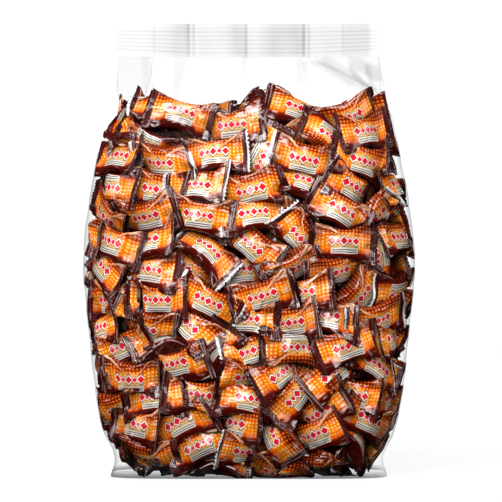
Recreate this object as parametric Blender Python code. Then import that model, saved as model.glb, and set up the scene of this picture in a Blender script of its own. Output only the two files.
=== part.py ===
"""A clear side-gusset bag of wrapped chocolate caramels, sealed across its top.

The filled bag stands on its base with its front towards -Y. Metres, +Z up, with
the origin in the middle of the base. It is one solid: a core a little inside the
film, the wrapped sweets that press against the film all round, the empty wedge of
film above them and the crimped seal.
"""

import math

import bmesh
import bpy
import numpy as np
from mathutils import Matrix, Vector

# The bag
BAG_HEIGHT = 0.329
SEAL_HEIGHT = 0.024
SEAL_WIDTH = 0.193
SEAL_THICKNESS = 0.0012
SEAL_RIBS = 8
SEAL_RIB_DEPTH = 0.0005
SEAL_FOLDS_X = (-0.042, 0.0, 0.042)
SEAL_FOLD_WIDTH = 0.002
WEDGE_TOP = BAG_HEIGHT - SEAL_HEIGHT
TUCK_FROM = 0.235
TUCK_DEPTH = 0.030
TUCK_SHARE = 0.6

# Height, half width, half depth and squareness of the film at a few levels
LEVELS = (
    (0.000, 0.1005, 0.0430, 5.0),
    (0.013, 0.0982, 0.0445, 3.4),
    (0.030, 0.1058, 0.0485, 2.8),
    (0.055, 0.1115, 0.0520, 2.7),
    (0.105, 0.1170, 0.0550, 2.6),
    (0.158, 0.1213, 0.0560, 2.6),
    (0.200, 0.1170, 0.0540, 2.6),
    (0.235, 0.1102, 0.0475, 2.8),
    (0.265, 0.1035, 0.0360, 3.6),
    (0.290, 0.0980, 0.0140, 6.0),
    (0.305, 0.0965, 0.0010, 8.0),
)

# The core
CORE_SIDES = 32
CORE_LEVELS = (0.013, 0.034, 0.070, 0.120, 0.170, 0.210, 0.245, 0.262, 0.275, 0.290)
CORE_INSET = 0.0065
INSET_FULL_BY = 0.034
SIDE_INSET_ENDS = (0.210, 0.245)
FRONT_INSET_ENDS = (0.250, 0.275)

# One wrapped sweet: its long axis is x, its label faces -y, and z is up its label
SWEET_BODY = (0.029, 0.013, 0.020)
FIN_REACH = 0.025
FIN_HEIGHT = 0.031
FIN_THICKNESS = 0.0012

# How the sweets lie
SEED = 41
ROW_PITCH = 0.0185
COLUMN_PITCH = 0.0355
LAYER_DEPTHS = (0.0095, 0.0255)
FIRST_ROW = 0.013
LAST_ROW = 0.274
HEAP_TOP = 0.287
HEAP_DIP = 0.018
HEAP_CREST_X = 0.008
HEAP_WAVE = 0.097
FILM_GAP = 0.0015
FOOT_GAP = 0.0095
FOOT_HEIGHT = 0.020
SETTLE_STEPS = 160
SETTLE_SHARE = 0.30
FILM_STIFFNESS = 1.2
OUTWARD_DRIFT = 0.0002
DOWNWARD_DRIFT = 0.0001
LONGEST_MOVE = 0.002
LONGEST_TWIST = 0.06
TURNING_RADIUS = 0.015
NEIGHBOUR_REACH = 0.052
OUTER_DEPTH = 0.0125

# Balls that stand for a sweet while the heap settles: x, z and radius, on its mid plane
BODY_BALLS = [(x, z, 0.0065) for x in (-0.009, 0.0, 0.009) for z in (-0.0038, 0.0038)]
NECK_BALLS = [(x, z, 0.0030) for x in (-0.017, 0.017) for z in (-0.006, 0.006)]
FIN_BALLS = [(x, z, 0.0014) for x in (-0.0225, 0.0225) for z in (-0.0135, 0.0, 0.0135)]


def film_section(height):
    """Half width, half depth and squareness of the film at each height, smooth between levels."""
    levels = np.array(LEVELS)
    heights = levels[:, 0]
    place = np.clip(height, heights[0], heights[-1])
    below = np.clip(np.searchsorted(heights, place, side="right") - 1, 0, len(levels) - 2)
    step = heights[below + 1] - heights[below]
    t = (place - heights[below]) / step
    sizes = []
    for column in (1, 2, 3):
        values = levels[:, column]
        slopes = np.gradient(values, heights)
        start = (1 + 2 * t) * (1 - t) ** 2 * values[below] + t * (1 - t) ** 2 * step * slopes[below]
        end = t * t * (3 - 2 * t) * values[below + 1] - t * t * (1 - t) * step * slopes[below + 1]
        sizes.append(start + end)
    return sizes


def rim_points(height, inset, angles):
    """Points of the film's section at a height, moved inwards, for the given angles."""
    half_width, half_depth, squareness = film_section(height)
    across, deep = np.cos(angles), np.sin(angles)
    power = 2.0 / squareness
    x = (half_width - inset) * np.sign(across) * np.abs(across) ** power
    y = np.maximum(half_depth - inset, 0.0) * np.sign(deep) * np.abs(deep) ** power
    return x, y


def evenly_round(height, inset, pitch, shift):
    """Points one pitch apart round a section, with the outward direction at each."""
    x, y = rim_points(height, inset, np.linspace(0.0, 2.0 * math.pi, 721))
    walked = np.concatenate([[0.0], np.cumsum(np.hypot(np.diff(x), np.diff(y)))])
    count = max(4, round(walked[-1] / pitch))
    at = (np.arange(count) + shift) % count / count * walked[-1]
    px, py = np.interp(at, walked, x), np.interp(at, walked, y)
    ahead = (at + 0.004) % walked[-1]
    behind = (at - 0.004) % walked[-1]
    tx = np.interp(ahead, walked, x) - np.interp(behind, walked, x)
    ty = np.interp(ahead, walked, y) - np.interp(behind, walked, y)
    length = np.hypot(tx, ty)
    return np.stack([px, py], axis=1), np.stack([ty / length, -tx / length], axis=1)


def first_places(rng):
    """Rows of sweets in two layers behind the film, label out, each turned a little at random."""
    middles, alongs, ups = [], [], []
    rows = int((LAST_ROW - FIRST_ROW) / ROW_PITCH) + 1
    for layer, depth in enumerate(LAYER_DEPTHS):
        for row in range(rows):
            height = FIRST_ROW + row * ROW_PITCH
            if film_section(height)[1] < depth + 0.004:
                continue
            shift = 0.5 * ((row + layer) % 2) + rng.uniform(-0.15, 0.15)
            spots, outs = evenly_round(height, depth, COLUMN_PITCH, shift)
            for (x, y), (out_x, out_y) in zip(spots, outs):
                along, up = turned_sweet(Vector((out_x, out_y, 0.0)), rng)
                middles.append((x, y, height + rng.normal(0.0, 0.0022)))
                alongs.append(along)
                ups.append(up)
    return np.array(middles), np.array(alongs), np.array(ups)


def turned_sweet(outward, rng):
    """Long axis and up axis of one sweet that faces outwards, mostly level and upright."""
    spread = 0.9 if rng.random() < 0.17 else 0.34
    spin = rng.normal(0.0, spread) + (math.pi if rng.random() < 0.10 else 0.0)
    lean = Matrix.Rotation(rng.normal(0.0, 0.24), 3, "X") @ Matrix.Rotation(rng.normal(0.0, 0.16), 3, "Z")
    own = Matrix.Rotation(spin, 3, "Y") @ lean
    up = Vector((0.0, 0.0, 1.0))
    inward = -outward
    level = Matrix((inward.cross(up), inward, up)).transposed()
    turned = level @ own
    return tuple(turned.col[0]), tuple(turned.col[2])


def near_pairs(middles):
    """Index pairs of sweets close enough to touch."""
    gaps = np.linalg.norm(middles[:, None] - middles[None, :], axis=2)
    return np.nonzero(np.triu(gaps < NEIGHBOUR_REACH, 1))


def film_push(balls, radii):
    """How far each ball must move to be inside the film, above the floor and below the heap's top."""
    half_width, half_depth, squareness = film_section(balls[..., 2])
    foot = FOOT_GAP * np.maximum(1.0 - balls[..., 2] / FOOT_HEIGHT, 0.0)
    a = np.maximum(half_width - FILM_GAP - foot - radii, 0.002)
    b = np.maximum(half_depth - FILM_GAP - foot / 2 - radii, 0.002)
    x, y = np.abs(balls[..., 0]) / a, np.abs(balls[..., 1]) / b
    reach = np.maximum(x**squareness + y**squareness, 1e-9) ** (1.0 / squareness)
    slope_x = np.sign(balls[..., 0]) * (x / reach) ** (squareness - 1.0) / a
    slope_y = np.sign(balls[..., 1]) * (y / reach) ** (squareness - 1.0) / b
    outside = np.maximum(reach - 1.0, 0.0) / (slope_x**2 + slope_y**2)
    push = np.zeros_like(balls)
    push[..., 0] = -outside * slope_x
    push[..., 1] = -outside * slope_y
    push[..., 2] = np.maximum(FILM_GAP + radii - balls[..., 2], 0.0)
    crest = 0.5 - 0.5 * np.cos(2.0 * math.pi * (balls[..., 0] - HEAP_CREST_X) / HEAP_WAVE)
    push[..., 2] -= np.maximum(balls[..., 2] + radii - HEAP_TOP + HEAP_DIP * crest, 0.0)
    return push


def contact_pushes(middles, balls, radii):
    """How far each ball is pushed by the balls of the sweets it touches."""
    pushes = np.zeros_like(balls)
    first, second = near_pairs(middles)
    apart = balls[first][:, :, None] - balls[second][:, None]
    gaps = np.sqrt((apart**2).sum(axis=3)) + 1e-9
    overlap = np.maximum(radii[:, None] + radii[None, :] - gaps, 0.0)
    shoves = apart * (0.5 * overlap / gaps)[..., None]
    np.add.at(pushes, first, shoves.sum(axis=2))
    np.add.at(pushes, second, -shoves.sum(axis=1))
    return pushes


def drift(middles):
    """The small steady pull on each sweet, out to the film and down."""
    outward = middles * (1.0, 4.0, 0.0)
    outward /= np.linalg.norm(outward, axis=1)[:, None] + 1e-9
    return OUTWARD_DRIFT * outward - (0.0, 0.0, DOWNWARD_DRIFT)


def shortened(vectors, longest):
    """The same vectors, none of them longer than the longest allowed."""
    lengths = np.linalg.norm(vectors, axis=1)[:, None] + 1e-9
    return vectors * np.minimum(1.0, longest / lengths)


def unit(vectors):
    """The same directions, each one long."""
    return vectors / np.linalg.norm(vectors, axis=1)[:, None]


def settled_sweets():
    """Middles, long axes and up axes of all sweets once the heap has settled against the film."""
    middles, alongs, ups = first_places(np.random.default_rng(SEED))
    spots = np.array(BODY_BALLS + NECK_BALLS + FIN_BALLS)
    radii = spots[:, 2]
    for step in range(SETTLE_STEPS):
        arms = alongs[:, None] * spots[None, :, :1] + ups[:, None] * spots[None, :, 1:2]
        balls = middles[:, None] + arms
        pushes = FILM_STIFFNESS * film_push(balls, radii) + contact_pushes(middles, balls, radii)
        moves = SETTLE_SHARE * pushes.sum(axis=1) + drift(middles)
        twists = SETTLE_SHARE * np.cross(arms, pushes).sum(axis=1) / TURNING_RADIUS**2
        twists = shortened(twists, LONGEST_TWIST)
        middles = np.round(middles + shortened(moves, LONGEST_MOVE), 7)
        alongs = np.round(unit(alongs + np.cross(twists, alongs)), 7)
        ups = ups + np.cross(twists, ups)
        ups = np.round(unit(ups - alongs * (ups * alongs).sum(axis=1)[:, None]), 7)
    return middles, alongs, ups


def film_depth(points):
    """How deep each point lies behind the film."""
    half_width, half_depth, squareness = film_section(points[:, 2])
    x, y = np.abs(points[:, 0]) / half_width, np.abs(points[:, 1]) / half_depth
    reach = np.maximum(x**squareness + y**squareness, 1e-9) ** (1.0 / squareness)
    slope_x = (x / reach) ** (squareness - 1.0) / half_width
    slope_y = (y / reach) ** (squareness - 1.0) / half_depth
    return (1.0 - reach) / np.hypot(slope_x, slope_y)


def new_object(name, mesh, collection):
    """A mesh as an object in a collection."""
    made = bpy.data.objects.new(name, mesh)
    collection.objects.link(made)
    return made


def finished_mesh(bm, name):
    """The mesh built so far, with its faces turned outwards."""
    bmesh.ops.recalc_face_normals(bm, faces=bm.faces[:])
    mesh = bpy.data.meshes.new(name)
    bm.to_mesh(mesh)
    bm.free()
    return mesh


def cut_across(bm, place, direction):
    """Cut the whole mesh on a plane without parting it."""
    everything = bm.verts[:] + bm.edges[:] + bm.faces[:]
    bmesh.ops.bisect_plane(bm, geom=everything, plane_co=place, plane_no=direction)


def core_inset(height, ends):
    """How far the core lies inside the film: nothing at the base, and nothing again above the ends."""
    rise = np.clip(height / INSET_FULL_BY, 0.0, 1.0)
    fall = np.clip((ends[1] - height) / (ends[1] - ends[0]), 0.0, 1.0)
    return CORE_INSET * float(rise * fall)


def core_mesh():
    """The filled bag without its lumps: a tall drum, cut at each level and drawn to its section."""
    bm = bmesh.new()
    bmesh.ops.create_cone(
        bm, cap_ends=True, segments=CORE_SIDES, radius1=1.0, radius2=1.0, depth=WEDGE_TOP,
        matrix=Matrix.Translation((0.0, 0.0, WEDGE_TOP / 2)),
    )
    for level in CORE_LEVELS:
        cut_across(bm, (0.0, 0.0, level), (0.0, 0.0, 1.0))
    for vert in bm.verts:
        height = vert.co.z
        angle = math.atan2(vert.co.y, vert.co.x)
        x = rim_points(height, core_inset(height, SIDE_INSET_ENDS), angle)[0]
        y = rim_points(height, core_inset(height, FRONT_INSET_ENDS), angle)[1]
        tuck = TUCK_DEPTH * max(0.0, (height - TUCK_FROM) / (WEDGE_TOP - TUCK_FROM))
        fold = max(0.0, 1.0 - abs(y) / (TUCK_SHARE * film_section(height)[1]))
        vert.co.x = x - math.copysign(tuck * fold, x)
        vert.co.y = y
    return finished_mesh(bm, "filled_bag")


def sweet_mesh():
    """One wrapped sweet with few sides: a box drawn out to a tall flat fin at each end."""
    bm = bmesh.new()
    bmesh.ops.create_cube(bm, size=1.0, matrix=Matrix.Diagonal((2 * FIN_REACH, 1.0, 1.0, 1.0)))
    for end in (-0.5, 0.5):
        cut_across(bm, (end * SWEET_BODY[0], 0.0, 0.0), (1.0, 0.0, 0.0))
    for vert in bm.verts:
        at_fin = abs(vert.co.x) > FIN_REACH - 0.001
        vert.co.y *= FIN_THICKNESS if at_fin else SWEET_BODY[1]
        vert.co.z *= FIN_HEIGHT if at_fin else SWEET_BODY[2]
    return finished_mesh(bm, "sweet")


def block(name, size, middle, collection):
    """A plain block of a given size."""
    bm = bmesh.new()
    bmesh.ops.create_cube(bm, size=1.0, matrix=Matrix.Translation(middle) @ Matrix.Diagonal((*size, 1.0)))
    return new_object(name, finished_mesh(bm, name), collection)


def add_sweets(collection):
    """The sweets that press against the film, each turned as it lies."""
    middles, alongs, ups = settled_sweets()
    shape = sweet_mesh()
    outer = np.nonzero(film_depth(middles) < OUTER_DEPTH)[0]
    for index in outer:
        along, up = Vector(alongs[index]), Vector(ups[index])
        placed = Matrix((along, up.cross(along), up)).transposed().to_4x4()
        placed.translation = middles[index]
        lowest = min((placed @ vert.co).z for vert in shape.vertices)
        placed.translation.z += max(0.0, FILM_GAP - lowest)
        sweet = new_object(f"sweet_{index}", shape, collection)
        sweet.matrix_world = placed


def add_seal(collection):
    """The flat band across the top, crimped in level ribs, with the upright lines of its folds."""
    overlap = 0.004
    middle = WEDGE_TOP + (SEAL_HEIGHT - overlap) / 2
    block("seal", (SEAL_WIDTH, SEAL_THICKNESS, SEAL_HEIGHT + overlap), (0.0, 0.0, middle), collection)
    pitch = SEAL_HEIGHT / SEAL_RIBS
    ribbed = SEAL_THICKNESS + 2 * SEAL_RIB_DEPTH
    for rib in range(SEAL_RIBS):
        height = WEDGE_TOP + (rib + 0.5) * pitch
        block(f"rib_{rib}", (SEAL_WIDTH - 0.001, ribbed, pitch / 2), (0.0, 0.0, height), collection)
    for x in SEAL_FOLDS_X:
        size = (SEAL_FOLD_WIDTH, ribbed + 0.0004, SEAL_HEIGHT - 0.001)
        block("fold", size, (x, 0.0, WEDGE_TOP + SEAL_HEIGHT / 2), collection)


def join_all(body, pieces):
    """One union of the body with every object of a collection, which is then emptied."""
    union = body.modifiers.new("join", "BOOLEAN")
    union.operation = "UNION"
    union.operand_type = "COLLECTION"
    union.collection = pieces
    union.solver = "EXACT"
    bpy.context.view_layer.update()
    joined = bpy.data.meshes.new_from_object(body.evaluated_get(bpy.context.evaluated_depsgraph_get()))
    body.modifiers.clear()
    body.data = joined
    for piece in list(pieces.objects):
        bpy.data.objects.remove(piece)


def keep_largest_piece(mesh):
    """Drop loose scraps and fill sealed hollows: only the largest connected surface stays."""
    bm = bmesh.new()
    bm.from_mesh(mesh)
    waiting = set(bm.faces)
    surfaces = []
    while waiting:
        front = {waiting.pop()}
        surface = set(front)
        while front:
            front = {near for face in front for edge in face.edges for near in edge.link_faces} - surface
            surface |= front
        waiting -= surface
        surfaces.append(surface)
    largest = max(surfaces, key=len)
    bmesh.ops.delete(bm, geom=[face for face in bm.faces if face not in largest], context="FACES")
    bm.to_mesh(mesh)
    bm.free()


def bag_material():
    """The brown and orange of the sweets as they show through the clear film."""
    material = bpy.data.materials.new("sweets_in_film")
    material.use_nodes = True
    surface = material.node_tree.nodes["Principled BSDF"]
    surface.inputs["Base Color"].default_value = (0.42, 0.12, 0.03, 1.0)
    surface.inputs["Roughness"].default_value = 0.3
    surface.inputs["Metallic"].default_value = 0.0
    return material


def build():
    """Clear the scene and make the filled bag."""
    for old in list(bpy.data.objects):
        bpy.data.objects.remove(old)
    home = bpy.data.collections.new("caramel_bag")
    pieces = bpy.data.collections.new("pieces_to_join")
    bpy.context.scene.collection.children.link(home)
    bpy.context.scene.collection.children.link(pieces)
    bag = new_object("filled_bag", core_mesh(), home)
    add_sweets(pieces)
    add_seal(pieces)
    join_all(bag, pieces)
    keep_largest_piece(bag.data)
    bag.data.materials.append(bag_material())
    bpy.data.collections.remove(pieces)


build()
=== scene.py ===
"""A clear side-gusset bag of wrapped chocolate caramels, standing sealed on a pale floor.

The sweets lie as the frame's solid has them: the same rows settle against the same film.
"""

import math

import bmesh
import bpy
import numpy as np
from mathutils import Matrix, Vector, noise
from mathutils.bvhtree import BVHTree


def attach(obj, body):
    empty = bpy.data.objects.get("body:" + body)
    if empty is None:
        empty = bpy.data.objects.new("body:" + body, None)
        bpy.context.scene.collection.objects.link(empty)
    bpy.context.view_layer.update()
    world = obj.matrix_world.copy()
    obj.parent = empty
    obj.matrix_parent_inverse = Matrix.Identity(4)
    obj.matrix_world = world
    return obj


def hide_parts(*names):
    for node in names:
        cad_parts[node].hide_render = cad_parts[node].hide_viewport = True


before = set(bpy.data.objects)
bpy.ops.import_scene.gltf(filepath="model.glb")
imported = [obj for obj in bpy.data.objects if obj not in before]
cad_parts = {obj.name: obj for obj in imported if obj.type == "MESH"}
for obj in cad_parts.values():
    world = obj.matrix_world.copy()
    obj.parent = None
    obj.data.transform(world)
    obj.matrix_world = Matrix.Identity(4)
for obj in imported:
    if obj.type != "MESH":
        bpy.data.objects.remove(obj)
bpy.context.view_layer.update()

# The bag, in metres
BAG_HEIGHT = 0.329
SEAL_HEIGHT = 0.024
SEAL_WIDTH = 0.193
SEAL_THICKNESS = 0.0012
WEDGE_TOP = BAG_HEIGHT - SEAL_HEIGHT

# Height, half width, half depth and squareness of the film at a few levels
LEVELS = (
    (0.000, 0.1005, 0.0430, 5.0),
    (0.013, 0.0982, 0.0445, 3.4),
    (0.030, 0.1058, 0.0485, 2.8),
    (0.055, 0.1115, 0.0520, 2.7),
    (0.105, 0.1170, 0.0550, 2.6),
    (0.158, 0.1213, 0.0560, 2.6),
    (0.200, 0.1170, 0.0540, 2.6),
    (0.235, 0.1102, 0.0475, 2.8),
    (0.265, 0.1035, 0.0360, 3.6),
    (0.290, 0.0980, 0.0140, 6.0),
    (0.305, 0.0965, 0.0010, 8.0),
)

# Points round a section, how far along it its direction is read, and how level a cut edge lies
SECTION_SAMPLES = 721
OUTWARD_REACH = 0.004
ALONG_SHARE = 0.9

# Millimetres in a metre, and what keeps a division from failing
MM = 1000.0
TINY = 1e-9

# One wrapped sweet: its long axis is x, its label faces -y, and z is up its label
BODY_LENGTH = 0.029
BODY_THICKNESS = 0.013
BODY_HEIGHT = 0.0200
BODY_ROUNDING = 0.0026
FIN_REACH = 0.025
FIN_START = 0.0205
FIN_HEIGHT = 0.0315
FIN_THICKNESS = 0.0009
FIN_RIB_DEPTH = 0.00030
FIN_RIB_SPACING = 0.00075
TOOTH_DEPTH = 0.0009
FLARE_START = 0.0030
FLARE_CURVE = 1.2
HALF_WRAP = 0.0165
THINNEST_CORNER = 0.0002
EVEN_FROM = 0.0150
CROWN = 0.0008
CROWN_FADE = (0.002, 0.017)
CROWN_HEIGHT = 0.010
RING_SLACK = 0.0002

# Points round a quarter of the wrapper: up its face, round its corner and along its side
FACE_STEPS = 5
CORNER_STEPS = 3
SIDE_STEPS = 3
QUARTER_STEPS = FACE_STEPS + CORNER_STEPS + SIDE_STEPS

# Where the rings of points lie along half a sweet, in millimetres, outer sweets and hidden ones
FINE_RINGS = (25.0, 24.25, 23.5, 22.75, 22.0, 21.25, 20.5, 19.2, 17.8, 16.2, 14.2, 11.0, 5.5, 0.0)
PLAIN_RINGS = (25.0, 20.5, 14.5, 8.0, 0.0)
FINE_DEPTH = 0.0215
CRUMPLES = 6
PLAIN_CRUMPLES = 2

# How a wrapper is crumpled: where along it, and the scale and depth of each kind of fold
ON_BODY = (0.013, 0.019)
NECK_RISE = (0.009, 0.015)
NECK_FALL = (0.0185, 0.0215)
FACES_APART = 0.004
SOFT_FOLDS = (120.0, 0.00040)
FINE_FOLDS = (290.0, 0.00022)
NECK_PLEATS = (240.0, 0.0011)
FIN_WAVES = (85.0, 0.0030)
UPRIGHT_FOLDS = (150.0, 0.0007)
FIN_WAVE_START = 0.015
FOLD_SHARPNESS = 2.4
PLEATS_DRAWN_OUT = 0.35
PLEATS_MIDDLE = 0.45
WAVES_DRAWN_OUT = 0.2

# How each fin is bent: where from, and how far it bends, twists and slants, in radians
BEND_FROM = BODY_LENGTH * 0.42
BEND = 0.28
MOST_BEND = 0.6
BEND_PULL = 0.8
TWIST = 0.20
SLANT = 0.14

# Room kept for a neighbour's body, where a wrapper is loose, and how far the print slips on it
BODY_ROOM = 0.0018
LOOSE_FROM_TO = (0.0095, 0.0150)
TOUCHING = 0.045
PRINT_SLIP = (1.0, 1.4)

# How far each sweet is turned from its neighbours, in radians, and how much more at the bottom
ROLL_PITCH_YAW = (0.20, 0.13, 0.16)
LOW_TUMBLE = 0.9
LOW_FROM = 0.02
LOW_OVER = 0.08
HEAP_NARROWING = 0.978
FOOT_NARROWING = 0.018
FOOT_NARROWS = (0.02, 0.09)

# Where the heap is in shade: how deep behind the film, how near the floor, and how dark it gets
SHADE_DEPTHS = (0.0050, 0.0175)
SHADE_TOP = (0.240, 0.272)
SHADE_OPEN_TOP = 0.6
FOOT_SHADE = 0.50
FOOT_SHADE_HEIGHT = 0.055
SHADE_DARKNESS = 0.86

# Sweets lying flat along the top of the heap: x and y of each, and the height they are lowered from
TOP_PLACES = (
    (-0.070, 0.004), (-0.036, -0.003), (0.000, 0.004), (0.035, -0.002), (0.069, 0.003),
    (-0.053, 0.001), (-0.018, 0.000), (0.017, 0.002), (0.052, 0.000),
)
TOP_FROM = 0.262
TOP_STEPS = 36
TOP_STEP = 0.001
TOP_SPIN = 0.35
TOP_LEAN = 0.10
REST_OVERLAP = 0.0012

# The dark middle of the heap, a dark body that stands in for the shade among the hidden sweets
CORE_DEPTH = 0.024
CORE_FOOT = 0.004
CORE_TOP = 0.255
CORE_AROUND = 48
CORE_RINGS = 30
CORE_LEAST = 0.85
CORE_LUMPS = 0.3
CORE_LUMP_SCALE = 60.0

# How the sweets lie before they settle
SEED = 41
ROW_PITCH = 0.0185
COLUMN_PITCH = 0.0355
LAYER_DEPTHS = (0.0095, 0.0255)
LAYER_ROOM = 0.004
FIRST_ROW = 0.013
LAST_ROW = 0.274
ROW_SHIFT = 0.15
ROW_WAVER = 0.0022
SPIN = 0.34
WILD_SPIN = 0.9
WILD_SHARE = 0.17
OVER_SHARE = 0.10
LEAN_BACK = 0.24
LEAN_SIDE = 0.16

# How they settle against the film and each other
HEAP_TOP = 0.287
HEAP_DIP = 0.018
HEAP_CREST_X = 0.008
HEAP_WAVE = 0.097
FILM_GAP = 0.0015
FOOT_GAP = 0.0095
FOOT_HEIGHT = 0.020
LEAST_ROOM = 0.002
SETTLE_STEPS = 160
SETTLE_SHARE = 0.30
FILM_STIFFNESS = 1.2
OUTWARD_WAY = (1.0, 4.0, 0.0)
OUTWARD_DRIFT = 0.0002
DOWNWARD_DRIFT = 0.0001
LONGEST_MOVE = 0.002
LONGEST_TWIST = 0.06
TURNING_RADIUS = 0.015
NEIGHBOUR_REACH = 0.052

# Balls that stand for a sweet while the heap settles: x, z and radius, on its mid plane
BODY_BALLS = [(x, z, 0.0065) for x in (-0.009, 0.0, 0.009) for z in (-0.0038, 0.0038)]
NECK_BALLS = [(x, z, 0.0030) for x in (-0.017, 0.017) for z in (-0.006, 0.006)]
FIN_BALLS = [(x, z, 0.0014) for x in (-0.0225, 0.0225) for z in (-0.0135, 0.0, 0.0135)]
BALLS = np.array(BODY_BALLS + NECK_BALLS + FIN_BALLS)

# The film round the heap: points along its front and side, and its rings below and in the headspace
FILM_FRONT = 96
FILM_SIDE = 36
FILM_AROUND = 2 * (FILM_FRONT + FILM_SIDE)
LOW_RINGS = 92
HEAD_RINGS = 42
FILM_RINGS = LOW_RINGS + HEAD_RINGS
HEAD_FROM = 0.240
BASE_LIFT = 0.0006
BASE_FLAT = 0.001
BASE_INSETS = (0.006, 0.012)
TOP_SQUARENESS = 34.0
SQUARER_FROM = 0.270

# How the film is drawn in between the sweets, and the heights where it lies on them
FILM_CLEARANCE = 0.0006
DEEPEST_SAG = 0.0060
SAG_STEPS = 40
SAG_EACH_STEP = 0.00022
RAY_START = 0.003
FILLED_UP_TO = (0.255, 0.285)
STANDING_FROM = (0.0, 0.018)
EDGE_SAG = 0.15
EDGE_SAG_FACING = (0.25, 0.80)

# The swells of the empty film, as scale, seed and depth, and where they and the creases end
HEAD_SWELLS = ((22.0, 8.0, 0.0018), (60.0, 3.0, 0.0006))
SWELL_FROM = (0.235, 0.270)
SWELL_END = 0.292
CREASE_END = 0.3035

# How deep the side gussets are folded in at each height, left and right
LEFT_GUSSET = ((0.235, 0.0), (0.262, 0.0240), (0.305, 0.0268))
RIGHT_GUSSET = ((0.262, 0.0), (0.279, 0.0085), (0.3035, 0.0530), (0.305, 0.0545))

# Creases in the headspace: -1 front or 1 back, x and height of both ends, width and depth
CREASES = (
    (-1, -0.0496, 0.304, -0.0532, 0.268, 0.0032, 0.0030),
    (-1, -0.0030, 0.304, -0.0024, 0.292, 0.0020, 0.0016),
    (-1, 0.0402, 0.304, 0.0386, 0.274, 0.0024, 0.0030),
    (-1, 0.0450, 0.303, 0.0715, 0.285, 0.0030, 0.0036),
    (-1, 0.0715, 0.285, 0.0885, 0.278, 0.0026, 0.0026),
    (-1, 0.0690, 0.302, 0.0745, 0.286, 0.0022, 0.0022),
    (-1, 0.0760, 0.300, 0.0860, 0.287, 0.0024, 0.0022),
    (-1, 0.0740, 0.284, 0.0920, 0.289, 0.0020, 0.0018),
    (-1, 0.0830, 0.303, 0.0900, 0.293, 0.0022, 0.0018),
    (-1, -0.0707, 0.303, -0.0670, 0.266, 0.0018, 0.0016),
    (-1, -0.0850, 0.300, -0.0790, 0.272, 0.0030, 0.0014),
    (1, -0.0600, 0.303, -0.0780, 0.276, 0.0030, 0.0028),
    (1, 0.0560, 0.303, 0.0700, 0.272, 0.0028, 0.0026),
    (1, 0.0230, 0.304, 0.0290, 0.279, 0.0024, 0.0020),
    (1, -0.0300, 0.304, -0.0260, 0.270, 0.0026, 0.0022),
)
CREASE_LEAST = 0.15

# Soft grey shade painted on the empty film where its folds show: both ends, half width and depth of grey
# at each
HEAD_SHADES = (
    (-0.0850, 0.3040, -0.0850, 0.2700, 0.0130, 0.0130, 0.034, 0.014),
    (-0.0745, 0.3040, -0.0720, 0.2680, 0.0040, 0.0035, 0.050, 0.030),
    (-0.0690, 0.2850, -0.0662, 0.2660, 0.0009, 0.0009, 0.050, 0.110),
    (-0.0495, 0.3035, -0.0545, 0.2680, 0.0050, 0.0028, 0.100, 0.050),
    (-0.0030, 0.3040, -0.0030, 0.2920, 0.0022, 0.0016, 0.090, 0.030),
    (0.0380, 0.3040, 0.0345, 0.2740, 0.0035, 0.0020, 0.080, 0.050),
    (0.0415, 0.3040, 0.0400, 0.2760, 0.0020, 0.0020, 0.080, 0.020),
    (0.0470, 0.3020, 0.0745, 0.2860, 0.0030, 0.0040, 0.140, 0.120),
    (0.0560, 0.3020, 0.0880, 0.2780, 0.0050, 0.0045, 0.060, 0.110),
    (0.0760, 0.3020, 0.0930, 0.2920, 0.0050, 0.0060, 0.090, 0.120),
    (0.0740, 0.2960, 0.0860, 0.2800, 0.0020, 0.0030, 0.120, 0.140),
    (0.0860, 0.2970, 0.0920, 0.2720, 0.0022, 0.0022, 0.100, 0.060),
    (0.0790, 0.2750, 0.0930, 0.2690, 0.0040, 0.0040, 0.040, 0.040),
)
SHADE_EDGE = (0.55, 1.25)

# The seal: its level ribs, how they rise to the ends, its bow and wave, and the folds standing out of it
SEAL_MIDDLE_X = -0.0012
SEAL_CUTS = 199
SEAL_RIBS = 8
SEAL_RIB_DEPTH = 0.0004
CUTS_A_RIB = 6
RIB_RISE = 0.13
RIBS_START = (0.01, 0.05)
RIBS_END = (0.84, 0.90)
SEAL_FOLD_X = 0.042
SEAL_BOW = 0.0045
SEAL_WAVE = (55.0, 0.0007)
SEAL_WAVE_DRAWN_OUT = 0.4
SEAL_THINNING = 0.75
SEAL_THINS_FROM = 0.086
SEAL_FOLD_WIDTH = 0.0011
SEAL_FOLDS = ((-0.0440, 0.0011), (-0.0410, 0.0011), (0.0, 0.0007), (0.0405, 0.0011), (0.0435, 0.0011))

# Shade painted on the seal, as its ribs and folds show it: stripes as x from and to, softness and depth,
# fold lines as x and depth, and ribs
SEAL_SHADES = (
    (-0.0690, -0.0430, 0.0100, 0.060),
    (-0.0560, -0.0436, 0.0040, 0.080),
    (-0.0400, -0.0130, 0.0060, 0.055),
    (-0.0130, -0.0015, 0.0035, 0.120),
    (0.0010, 0.0120, 0.0060, 0.050),
    (0.0120, 0.0400, 0.0060, 0.130),
    (0.0440, 0.0880, 0.0050, 0.070),
    (0.0700, 0.0880, 0.0040, 0.050),
)
SEAL_FOLD_LINES = (
    (-0.0690, 0.05), (-0.0448, 0.30), (-0.0410, 0.24), (-0.0022, 0.14), (0.0008, 0.08),
    (0.0398, 0.24), (0.0430, 0.32), (0.0690, 0.08),
)
FOLD_LINE_WIDTH = 0.0008
SEAL_GREY = 0.015
SEAL_UNEVEN = (0.60, 0.25, 0.35)
SEAL_UNEVEN_SCALE = 70.0
RIB_SHADE = 0.075
RIB_SHADE_LEAST = 0.90
RIB_SHADE_MORE = 2.5
SEAL_SHADE_END = (0.0930, 0.0975)

# The seam down the back, and how far behind the bag the look for the film starts
SEAM_WIDTH = 0.012
SEAM_FOOT = 0.004
SEAM_LIFT = 0.0007
SEAM_THICKNESS = 0.0003
SEAM_ROWS = 90
BEHIND_BAG = 0.2

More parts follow.
